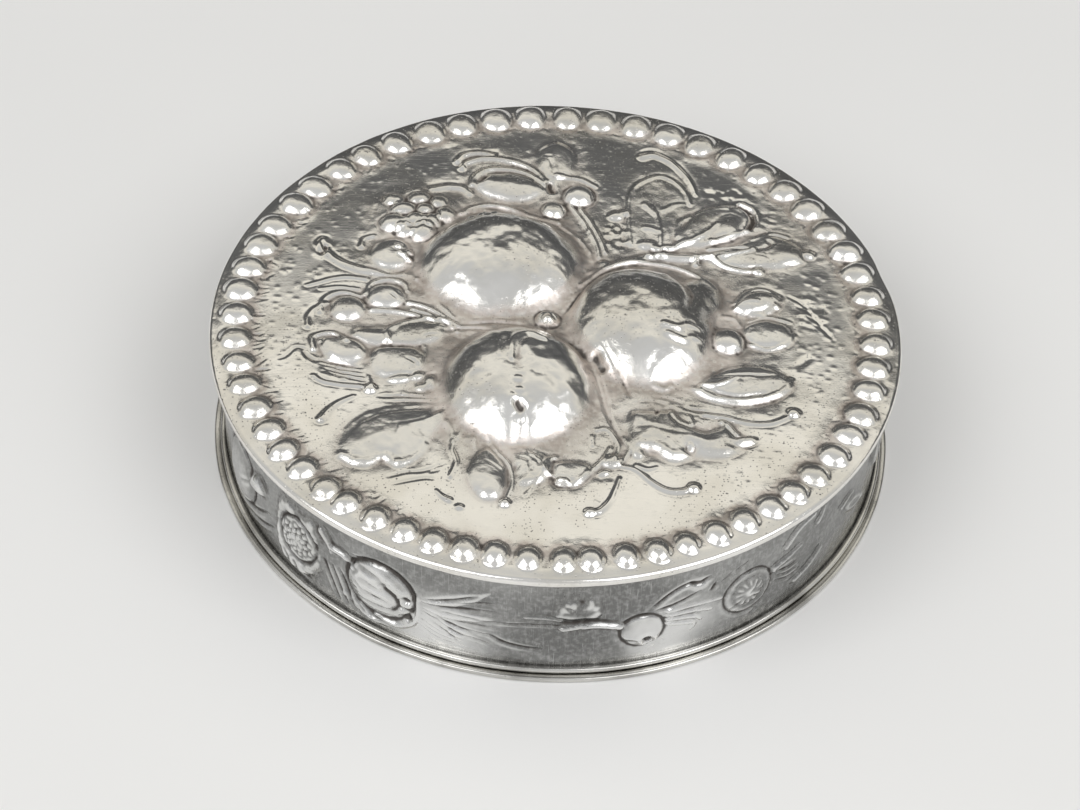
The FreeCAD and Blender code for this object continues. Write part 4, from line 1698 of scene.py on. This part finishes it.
def wall_motifs(turn: float, per_degree: float) -> list[Motif]:
    """One half of the frieze round the wall, placed by angle and height.

    Args:
        turn: Angle by which the half is turned round the box, in degrees.
        per_degree: Millimetres along the wall for each degree.

    Returns:
        The motifs, in the order that they are pressed in.
    """

    def at(*places: Point) -> list[Point]:
        """Places along the wall, from angles and heights."""
        return [((angle + turn) * per_degree, height) for angle, height in places]

    def dome(angle: float, height: float, wide: float, tall: float, rise: float, **more: float) -> Dome:
        """A round form at an angle and height."""
        return Dome((angle + turn) * per_degree, height, wide, tall, rise, **more)

    seeds = []
    for k in range(1, 27):
        spread = math.sqrt(k / 26)
        angle, height = -135.5 + 3.4 * math.cos(k * 2.4) * spread, 9.0 + 2.6 * math.sin(k * 2.4) * spread
        seeds.append(dome(angle, height, 0.42, 0.42, 1.0, chase=0.18, chase_width=0.2))
    rays = []
    for k in np.arange(0.0, 6.2, 0.52):
        root = (-54.4 + 0.9 * math.cos(k), 8.0 + 0.7 * math.sin(k))
        tip = (-54.4 + 3.4 * math.cos(k + 0.3), 8.0 + 2.6 * math.sin(k + 0.3))
        rays.append(Groove(at(root, tip), 0.18, 0.09))
    return [
        dome(-155, 8.2, 4.2, 4.8, 0.8, chase=0.3),
        Leaf(at((-150.5, 9.6), (-149, 11.8), (-146.4, 11.6), (-145.2, 10), (-147.6, 9.2)), 0.5, crown=0.2),
        Groove(at((-158, 2.2), (-154, 3.6), (-149, 5), (-144.5, 7.2)), 0.3, 0.25),
        Groove(at((-152, 2.6), (-147, 4), (-143, 5.6)), 0.25, 0.2),
        Leaf(at((-141.5, 9.4), (-140.4, 13.2), (-137.6, 14.2), (-135, 13.2), (-131.8, 13.8), (-130.4, 10.6),
                (-130.2, 6.4), (-133.4, 3), (-138.4, 2.8), (-141.4, 5.4)), 0.45, frill=0.1),
        dome(-135.5, 8.8, 3.2, 3.4, 0.9, fullness=2.2, chase=0.35, chase_width=0.5),
        *seeds,
        *(Groove(at((-141 + 2.2 * k, 5.2 - 0.5 * k), (-139.4 + 2 * k, 3.4 - 0.2 * k),
                    (-136.6 + 1.7 * k, 2.7)), 0.25, 0.22) for k in range(3)),
        Ridge(at((-130, 13.6), (-128.4, 12), (-127.8, 10.6)), 0.45, 0.4, 0.6),
        Ridge(at((-127.4, 11.6), (-125, 11.4), (-123, 10.2)), 0.4, 0.4, 0.8),
        *(Groove(at((-129.6 + 1.6 * k, 8.4), (-128 + 1.6 * k, 5.6), (-126.6 + 1.7 * k, 3)), 0.24, 0.25)
          for k in range(3)),
        *(Ridge(at((-125.2 + 1.6 * k, 4.8 - 0.3 * k), (-122.4 + 1.6 * k, 3.2 - 0.3 * k),
                   (-119.8 + 1.7 * k, 2.6)), 0.22, 0.2) for k in range(3)),
        dome(-118.2, 8.4, 4.7, 4.4, 1.05, fullness=2.2, chase=0.3, chase_width=0.6),
        *(Groove(at((-121.6 + 0.5 * k, 11.4 - 1.7 * k), (-118 + 0.4 * k, 11 - 1.5 * k),
                    (-114.6, 9.2 - 0.9 * k)), 0.4, 0.16) for k in range(4)),
        Groove(at((-117.4, 10.2), (-115, 9.2), (-114.2, 7.6), (-115.2, 6.2)), 0.45, 0.5),
        *(Groove(at((-113.2, z), (-112.8, z - 0.4)), 0.4, 0.45, blunt=True) for z in (9, 7.4, 5.8)),
        Ridge(at((-119, 3.6), (-114.6, 3.4), (-111.4, 5.4), (-111, 9.6)), 0.3, 0.3, 0.8),
        Leaf(at((-110.8, 9.6), (-107, 11.9), (-102.6, 13.4), (-98.4, 14.2), (-101.4, 11.7), (-106, 9.8)),
             0.35, hollow=0.15),
        Groove(at((-110.4, 9.8), (-105.4, 11.4), (-100.6, 13.2)), 0.22, 0.22),
        Leaf(at((-110, 8.8), (-104.6, 9.8), (-98, 9.2), (-103, 8), (-107.6, 7.4)), 0.3, hollow=0.1),
        *(Groove(at((-109.4, 8.4 - 0.9 * k), (-105.6, 7 - k), (-101 - 1.6 * k, 5.8 - 0.9 * k)), 0.22, 0.2)
          for k in range(3)),
        *(Groove(at((-110.6, 9.8 - 0.5 * k), (-105.6, 11 - 1.05 * k), (-100.4, 11.9 - 1.4 * k),
                    (-94.6 - 0.8 * k, 12.2 - 1.55 * k)), 0.15, 0.12, lip=0.5) for k in range(6)),
        *(Groove(at((-111, 6.4 - 0.6 * k), (-107.4, 5 - 0.7 * k), (-103, 4.4 - 0.6 * k)),
                 0.15, 0.1, lip=0.5) for k in range(3)),
        Groove(at((-104, 9), (-97, 8.7), (-90, 9), (-84, 8.6)), 0.16, 0.14, lip=0.6),
        Leaf(at((-88.2, 10.4), (-87.4, 13.2), (-85.2, 13.8), (-83.8, 13.2), (-82.6, 14), (-80.6, 12.4),
                (-81.4, 10.2)), 0.35, frill=0.06),
        Ridge(at((-93, 10.3), (-90, 10.3), (-87.2, 10)), 0.28, 0.22, 0.8),
        Ridge(at((-87, 8.5), (-82, 9), (-77.2, 8.3)), 0.4, 0.35, 1.2),
        Groove(at((-99, 6.4), (-96.4, 5.2), (-93, 4.6), (-90, 4.4)), 0.24, 0.18),
        dome(-73.7, 6.9, 2.7, 2.7, 0.5, fullness=2.2, chase=0.24, chase_width=0.35),
        Groove(at((-73, 5.6), (-72.7, 5.1)), 0.45, 0.55, blunt=True),
        Groove(at((-72.6, 10.3), (-69.4, 12.5), (-66.4, 13.6), (-64.4, 13.3), (-62, 13.7)), 0.26, 0.28),
        Groove(at((-65.6, 13.5), (-64.2, 13.1), (-63, 13.4)), 0.42, 0.35),
        Groove(at((-72, 9.9), (-68, 10.5), (-64, 11.6)), 0.22, 0.2),
        *(Ridge(at((-69.6, 9.5 - 0.75 * k), (-64.8, 9.4 - 1.1 * k), (-59.8 - 1.8 * k, 8.9 - 1.3 * k)),
                0.26, 0.24) for k in range(4)),
        Groove(at((-62, 10.8), (-61, 12.2)), 0.24, 0.2),
        *(Groove(at((-60.4 + 1.5 * k, 11.6 + 0.4 * k), (-57.6 + 1.5 * k, 13.2 + 0.3 * k)), 0.18, 0.14)
          for k in range(3)),
        dome(-54.4, 8, 3.5, 3.6, 0.3, fullness=2, chase=0.24),
        dome(-54.4, 8, 2.2, 2.2, 0.38, fullness=2, chase=0.1),
        *rays,
        Ridge(at((-49.4, 9.6), (-46.4, 10), (-42.8, 10.7)), 0.3, 0.3, 0.7),
        Ridge(at((-49.6, 9.2), (-47.4, 9), (-44.8, 9)), 0.24, 0.22, 0.7),
        Ridge(at((-47, 12.2), (-44.2, 14.2), (-40.4, 15)), 0.3, 0.28, 0.9),
        Ridge(at((-39.4, 12.6), (-38, 13.6), (-37.4, 14.6)), 0.28, 0.26, 0.7),
        Ridge(at((-44, 4.6), (-40, 5.4), (-37, 6.9)), 0.32, 0.3, 0.8),
        *(Groove(at((-48.6, 8.6 - 0.8 * k), (-45.8, 7.9 - 0.9 * k), (-42.6, 8 - k)), 0.2, 0.18)
          for k in range(3)),
        Ridge(at((-31.6, 10.3), (-29, 10.6), (-26.6, 10.3)), 0.28, 0.26, 0.7),
        Leaf(at((-30, 9.6), (-26, 9.4), (-21.4, 6.6), (-25, 6.4), (-29, 7.8)), 0.35, hollow=0.15),
        Leaf(at((-17, 8), (-14, 12), (-8, 12.6), (-4, 9.4), (-8, 7), (-13, 6.6)), 0.4, hollow=0.2),
        Groove(at((-16.4, 8.2), (-11, 9.6), (-5, 9.6)), 0.24, 0.22),
        dome(6, 7.6, 3, 3, 0.7, chase=0.32),
        Ridge(at((-3.6, 9.2), (0, 9.8), (3, 9)), 0.3, 0.28, 0.8),
        *(Groove(at((9.8, 9 - 0.9 * k), (13.6, 9.2 - 1.3 * k), (17.6, 8.6 - 1.6 * k)), 0.22, 0.2)
          for k in range(4)),
    ]


@dataclass
class WallBand:
    """The strip of sheet bent to a ring and chased on the outside.

    Attributes:
        sheet: Thickness of the strip, in millimetres.
        around: Points round the wall.
        row_step: Spacing of the rows.
        inside_rows: Rows of points on the plain inside.
        ease: Size of the slope along both upper edges.
        raster_step: Spacing of the relief's raster.
        margin: How far the raster runs past the wall's edges.
        strokes: How many places the short strokes of the tracer are tried at.
        sheen_at: Angles of spots of painted sheen on the wall, in degrees; the places opposite them get it
            too.
        sheen_spot: Half of the width of such a spot, as a share of the wall's radius.
    """

    sheet: float = 0.9
    around: int = 1440
    row_step: float = 0.18
    inside_rows: int = 4
    ease: float = 0.14
    raster_step: float = 0.1
    margin: float = 2.0
    strokes: int = 600
    # Painted sheen: where the wall is brightened, and how wide each bright spot is.
    sheen_at: tuple[float, ...] = (-68.0, -109.0)
    sheen_spot: float = 0.22

    def __post_init__(self) -> None:
        """Take the sizes that the frame gives."""
        low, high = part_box("wall_band")
        self.radius = (high.x - low.x) / 2 / MM
        self.low, self.high = low.z / MM, high.z / MM
        self.mouth = self.radius - self.sheet

    def relief(self) -> ReliefMap:
        """Press the frieze into an unrolled raster.

        Returns:
            The relief of the wall's outside.
        """
        half = math.pi * self.radius
        bottom, top = self.low - self.margin, self.high + self.margin
        relief = ReliefMap((-half, bottom), (half, top), self.raster_step)
        per_degree = math.radians(1) * self.radius
        press_all(wall_motifs(0.0, per_degree) + wall_motifs(180.0, per_degree), relief)
        self._strokes(relief)
        relief.height = relief.blurred(relief.height, 0.11)
        relief.height += 0.8 * np.clip(relief.standing_out(0.9), -0.3, 0.16)
        for strength, reach, seed in ((0.03, 3.0, 11), (0.012, 0.8, 12), (0.006, 0.3, 13)):
            relief.height += strength * relief.noise(reach, seed)
        return relief

    def _strokes(self, relief: ReliefMap) -> None:
        """Cut many short strokes of the tracer beside the raised forms.

        Args:
            relief: The relief to cut into.
        """
        draw = np.random.default_rng(SEED + 80)
        near = relief.blurred((np.abs(relief.height) > 0.12).astype(float), 1.3)
        half = math.pi * self.radius
        for _ in range(self.strokes):
            x, y = draw.uniform(-half + 3, half - 3), draw.uniform(self.low + 2.2, self.high - 1.6)
            here = relief.sample(near, np.array([x]), np.array([y]))[0]
            if draw.uniform(0.1, 0.75) > here:
                continue
            turn, long = draw.normal(0.25, 0.55), draw.uniform(0.7, 2.4)
            bow = draw.normal(0, 0.12)
            line = []
            for share in (-0.5, 0.0, 0.5):
                bent = turn + share * bow
                line.append((x + share * long * math.cos(bent), y + share * long * math.sin(bent)))
            Groove(line, draw.uniform(0.14, 0.24), draw.uniform(0.03, 0.1), lip=0.5).press(relief)

    def build(self) -> Piece:
        """Make the band's mesh.

        Returns:
            The band, with its crevices, a painted shade above the foot, and its matt places outside the
            painted sheen and highlights marked on its points.
        """
        relief = self.relief()
        angle = -math.pi + 2 * math.pi * np.arange(self.around) / self.around
        z = np.linspace(self.low, self.high, round((self.high - self.low) / self.row_step) + 1)
        along = np.broadcast_to(angle * self.radius, (len(z), self.around))
        up = np.broadcast_to(z[:, None], along.shape)
        outside = self.radius + relief.sample(relief.height, along, up) * self._fade(up)
        others = [self.radius - self.ease, self.mouth + self.ease] + [self.mouth] * self.inside_rows
        plain = np.broadcast_to(np.array(others)[:, None], (len(others), self.around))
        inside = np.linspace(self.high - self.ease, self.low, self.inside_rows)
        level = np.concatenate([z, [self.high, self.high], inside])
        level[len(z) - 1] = self.high - self.ease
        points = round_points(np.vstack([outside, plain]), angle, level[:, None])
        maker = MeshMaker()
        maker.hoop(points, self._map(len(points) + 1))
        piece = maker.make("chased_wall")
        # Painted shade: the wall is darkened just above the foot, through the crevice mark.
        painted_foot_shade = 0.3 * smooth_step(self.low + 2.0, self.low + 0.9, relief.y)
        crevice = np.maximum(relief.hollows(0.7, 0.03, 0.2), painted_foot_shade)
        # Raised places of the frieze are made brighter: partly real wear of the high points, partly painted
        # highlight.
        wear_and_highlight = np.clip((relief.standing_out(0.5) - 0.012) / 0.08, 0, 1)
        wear_and_highlight = np.clip(0.6 * wear_and_highlight + 0.6 * smooth_step(0.12, 0.9, relief.height), 0, 1)
        # The matt tarnish is kept off the painted highlights and the painted sheen, so that those places
        # show bright silver.
        dull_outside_sheen = (1 - wear_and_highlight) * (1 - self._painted_sheen(relief))
        for name, grid, elsewhere in (("crevice", crevice, 0.0), ("tarnish_and_sheen", dull_outside_sheen, 0.3)):
            rest = np.full(plain.size, elsewhere)
            mark(piece, name, np.concatenate([relief.sample(grid, along, up).ravel(), rest]))
        return piece

    def _painted_sheen(self, relief: ReliefMap) -> Grid:
        """Find how much painted sheen lies on the wall: a little everywhere, most at the given angles and
        the ones opposite, fading out towards the lid.

        Args:
            relief: The wall's relief.

        Returns:
            The raster of painted sheen, from 0 to 1.
        """
        sheen_spot = np.zeros(relief.height.shape)
        for sheen_at in self.sheen_at:
            turn = relief.x / self.radius - math.radians(sheen_at)
            sheen_spot = np.maximum(sheen_spot, np.exp(-((np.sin(turn) / self.sheen_spot) ** 2)))
        # Painted shade: the sheen fades towards the top, which stays darker under the lid.
        sheen_spot *= smooth_step(self.high, self.low + 4, relief.y)
        uneven = smooth_step(-1.6, 1.2, relief.noise(2.6, 14))
        return (0.12 + 0.76 * sheen_spot) * (0.55 + 0.45 * uneven)

    def _fade(self, up: Grid) -> Grid:
        """Keep the wall plain just above the foot and just under the lid."""
        return smooth_step(self.low, self.low + 1.6, up) * (1 - smooth_step(self.high - 1.0, self.high, up))

    def _map(self, rows: int) -> Grid:
        """Lay the band's map places out in four strips.

        Args:
            rows: How many rows the net has.

        Returns:
            The map places of the net.
        """
        quarter = self.around // 4
        column = np.arange(self.around + 1)
        strip = np.minimum(column // quarter, 3)
        share = (column - strip * quarter) / quarter
        row = np.linspace(0, 1, rows)
        across = np.broadcast_to(0.01 + 0.98 * share, (rows, self.around + 1))
        upward = 0.01 + 0.245 * strip[None, :] + 0.23 * row[:, None]
        return np.stack([across, upward], axis=-1)

    def dress(self, piece: Piece, finish: SilverFinish) -> list[Piece]:
        """Give the band its finish."""
        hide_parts("wall_band")
        return [dress(piece, finish.material(), Body.BOX)]


@dataclass
class FootRing:
    """A hand-drawn wire bent round the foot, with softly rounded edges.

    Attributes:
        node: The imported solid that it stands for.
        name: Name of the piece.
        round_over: Radius of its outer edges, in millimetres.
        seed: Number that fixes its unevenness.
        around: Points round it.
        unevenness: Height of the broadest waves round it.
        waves: How many waves of each kind go round it.
    """

    node: str
    name: str
    round_over: float
    seed: int
    around: int = 900
    unevenness: float = 0.05
    waves: tuple[int, ...] = (2, 3, 5, 9, 17, 31)

    def build(self) -> Piece:
        """Make the ring's mesh.

        Returns:
            The ring.
        """
        low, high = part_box(self.node)
        outer = (high.x - low.x) / 2 / MM
        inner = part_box("wall_band")[1].x / MM
        bottom, top = low.z / MM, high.z / MM
        bend = np.linspace(0, math.pi / 2, 6)
        size = min(self.round_over, (top - bottom) * 0.48)
        rising, falling = size * np.sin(bend), size * np.cos(bend)
        radii = np.concatenate([[inner], outer - size + rising, outer - size + falling, [inner]])
        level = np.concatenate([[bottom], bottom + size - falling, top - size + rising, [top]])
        angle = 2 * math.pi * np.arange(self.around) / self.around
        draw = np.random.default_rng(SEED + 90 + self.seed)
        wobble = np.zeros(self.around)
        for wave in self.waves:
            wobble += self.unevenness / wave**0.5 * np.sin(wave * angle + draw.uniform(0, 6.28))
        share = np.clip((radii - inner) / (outer - inner), 0, 1)[:, None]
        maker = MeshMaker()
        map_columns = np.linspace(0.01, 0.99, self.around + 1)
        map_rows = np.linspace(0.01, 0.99, len(radii) + 1)
        places = np.stack(np.meshgrid(map_columns, map_rows), axis=-1)
        maker.hoop(round_points(radii[:, None] + share * wobble, angle, level[:, None]), places)
        return maker.make(self.name)

    def dress(self, piece: Piece, finish: SilverFinish) -> list[Piece]:
        """Give the ring its finish."""
        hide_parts(self.node)
        return [dress(piece, finish.material(), Body.BOX)]


# The studio


@dataclass
class Softbox:
    """A square lamp that looks at the box.

    Attributes:
        name: Name of the lamp.
        azimuth: Direction that it stands in, in degrees from the right towards the back.
        elevation: Height that it stands at, in degrees.
        distance: Distance from the box, in metres.
        size: Width and height of its face, in metres.
        glow: Brightness of its face, where 1 is white.
    """

    name: str
    azimuth: float
    elevation: float
    distance: float
    size: tuple[float, float]
    glow: float

    def build(self) -> None:
        """Hang the lamp."""
        lamp = bpy.data.lights.new(self.name, "AREA")
        lamp.shape = "RECTANGLE"
        lamp.size, lamp.size_y = self.size
        lamp.energy = self.glow * math.pi * self.size[0] * self.size[1]
        turn, lift = math.radians(self.azimuth), math.radians(self.elevation)
        toward = Vector((math.cos(lift) * math.cos(turn), math.cos(lift) * math.sin(turn), math.sin(lift)))
        thing = bpy.data.objects.new(self.name, lamp)
        thing.location = toward * self.distance
        thing.rotation_euler = toward.to_track_quat("Z", "Y").to_euler()
        bpy.context.scene.collection.objects.link(thing)


@dataclass
class Studio:
    """The pale floor, the lamps, the dim room and the camera.

    Attributes:
        focal: Focal length on a sensor 36 mm wide.
        distance: From the camera to the middle of the box's foot, in metres.
        elevation: Of the camera, in degrees.
        roll: Tilt of the picture, in degrees.
        aside: How far the camera stands to the right and up of its line of sight, in metres.
        floor: Radius of the floor, in metres.
        floor_gap: How far the floor lies below the box, in metres.
        lamps: The two lamps in front.
        slant: How much sooner the room darkens towards the right.
        room: Tones of the room, from the front horizon at 0 degrees over the top to the back one at 180.
    """

    focal: float = 100.0
    distance: float = 0.40366
    elevation: float = 44.94
    roll: float = 2.493
    aside: tuple[float, float] = (-0.001495, 0.002693)
    floor: float = 4.0
    floor_gap: float = 0.00005
    lamps: list[Softbox] = field(
        default_factory=lambda: [
            Softbox("left_softbox", 220, 47, 0.8, (0.62, 0.46), 2.0),
            Softbox("right_softbox", 320, 47, 0.8, (0.62, 0.46), 2.0),
        ]
    )
    slant: float = 0.1
    room: list[tuple[float, tuple[float, float, float]]] = field(
        default_factory=lambda: [
            (0, (0.80, 0.80, 0.80)),
            (16, (0.75, 0.75, 0.75)),
            (38, (0.55, 0.55, 0.55)),
            (62, (0.60, 0.605, 0.61)),
            (98, (0.54, 0.545, 0.545)),
            (118, (0.68, 0.665, 0.615)),
            (135.2, (0.88, 0.85, 0.77)),
            (136.6, (0.64, 0.625, 0.58)),
            (137.7, (0.24, 0.24, 0.233)),
            (139.2, (0.12, 0.121, 0.121)),
            (150, (0.11, 0.111, 0.112)),
            (165, (0.075, 0.076, 0.077)),
            (180, (0.12, 0.121, 0.122)),
        ]
    )

    def build(self) -> None:
        """Set up floor, lamps, room and camera."""
        self._floor()
        for lamp in self.lamps:
            lamp.build()
        self._room()
        self._camera()

    def _floor(self) -> None:
        """Lay the floor, a hair below the box."""
        mesh = bpy.data.meshes.new("floor")
        turn = np.linspace(0, 2 * math.pi, 64, endpoint=False)
        rim = [(self.floor * math.cos(a), self.floor * math.sin(a), -self.floor_gap) for a in turn]
        mesh.from_pydata(rim, [], [list(range(len(rim)))])
        floor = bpy.data.objects.new("floor", mesh)
        floor.data.materials.append(FloorFinish().material())
        bpy.context.scene.collection.objects.link(floor)

    def _room(self) -> None:
        """Make the room pale overhead and in front, warm high behind the box and dim low behind it."""
        world = bpy.data.worlds.new("pale_room")
        bpy.context.scene.world = world
        nodes = NodeTree(world)
        direction = nodes.node("ShaderNodeTexCoord").outputs["Generated"]
        split = nodes.node("ShaderNodeSeparateXYZ", {0: direction}).outputs
        arch = nodes.math("ARCTAN2", split["Z"], nodes.times(split["Y"], -1.0))
        share = nodes.math("DIVIDE", nodes.plus(arch, split["X"], self.slant), math.pi)
        tones = nodes.node("ShaderNodeValToRGB", {0: share})
        stops = tones.color_ramp.elements
        while len(stops) < len(self.room):
            stops.new(0.5)
        for stop, (degrees, tone) in zip(stops, self.room):
            stop.position = degrees / 180
            stop.color = tone + (1.0,)
        sky = nodes.node("ShaderNodeBackground", {"Color": tones.outputs[0]})
        nodes.node("ShaderNodeOutputWorld", {"Surface": sky.outputs[0]})

    def _camera(self) -> None:
        """Put the camera where the photograph was taken from."""
        lift, roll = math.radians(self.elevation), math.radians(self.roll)
        back = Vector((0, -math.cos(lift), math.sin(lift)))
        level = Vector((1, 0, 0))
        upright = back.cross(level)
        right = level * math.cos(roll) + upright * math.sin(roll)
        up = upright * math.cos(roll) - level * math.sin(roll)
        eye = back * self.distance + right * self.aside[0] + up * self.aside[1]
        camera = bpy.data.objects.new("camera", bpy.data.cameras.new("camera"))
        camera.data.lens = self.focal
        camera.data.sensor_width = 36.0
        camera.data.clip_start = 0.01
        axes = Matrix((right, up, back)).transposed().to_4x4()
        camera.matrix_world = Matrix.Translation(eye) @ axes
        bpy.context.scene.collection.objects.link(camera)
        bpy.context.scene.camera = camera


def main() -> None:
    """Build, dress and report every piece, then set up the studio."""
    logging.basicConfig(level=logging.INFO, format="%(name)s: %(message)s")
    bpy.context.scene.view_settings.view_transform = "Standard"
    embossed = SilverFinish("embossed_silver")
    # The chased wall's dark tarnish colour is also its painted shade, wherever no painted sheen or
    # highlight lies.
    chased = SilverFinish(
        "chased_silver", silver=(0.84, 0.84, 0.83, 1.0), film=(0.66, 0.66, 0.64, 1.0),
        blush_and_shade=(0.27, 0.27, 0.263, 1.0), deep=(0.13, 0.13, 0.126, 1.0), patch=0.07, mottle=0.25, matt=0.0,
        roughness=0.18, scratches=0.9, scratch_turns=(0.0, 40.0), upright=True, pits=0.4,
    )
    wire = SilverFinish(
        "wire_silver", silver=(0.70, 0.69, 0.66, 1.0), film=(0.3, 0.292, 0.275, 1.0), roughness=0.16,
        scratches=0.4, pits=0.4,
    )
    plain = SilverFinish(
        "plain_silver", silver=(0.86, 0.85, 0.83, 1.0), roughness=0.3, scratches=0.8, pits=0.3
    )

    lid = Lid()
    pieces = lid.dress(lid.build(), embossed, plain, wire)
    wall = WallBand()
    pieces += wall.dress(wall.build(), chased)
    for ring in (
        FootRing("foot_flange", "foot_flange_ring", 0.3, seed=1),
        FootRing("foot_step_wire", "foot_step_ring", 0.36, seed=2),
    ):
        pieces += ring.dress(ring.build(), wire)
    pieces.append(dress_node("base_plate", plain.material()))
    for piece in pieces:
        finish = piece.data.materials[0].name
        LOG.info("%s: %d points, finish %s", piece.name, len(piece.data.vertices), finish)
    Studio().build()


if __name__ == "__main__":
    main()
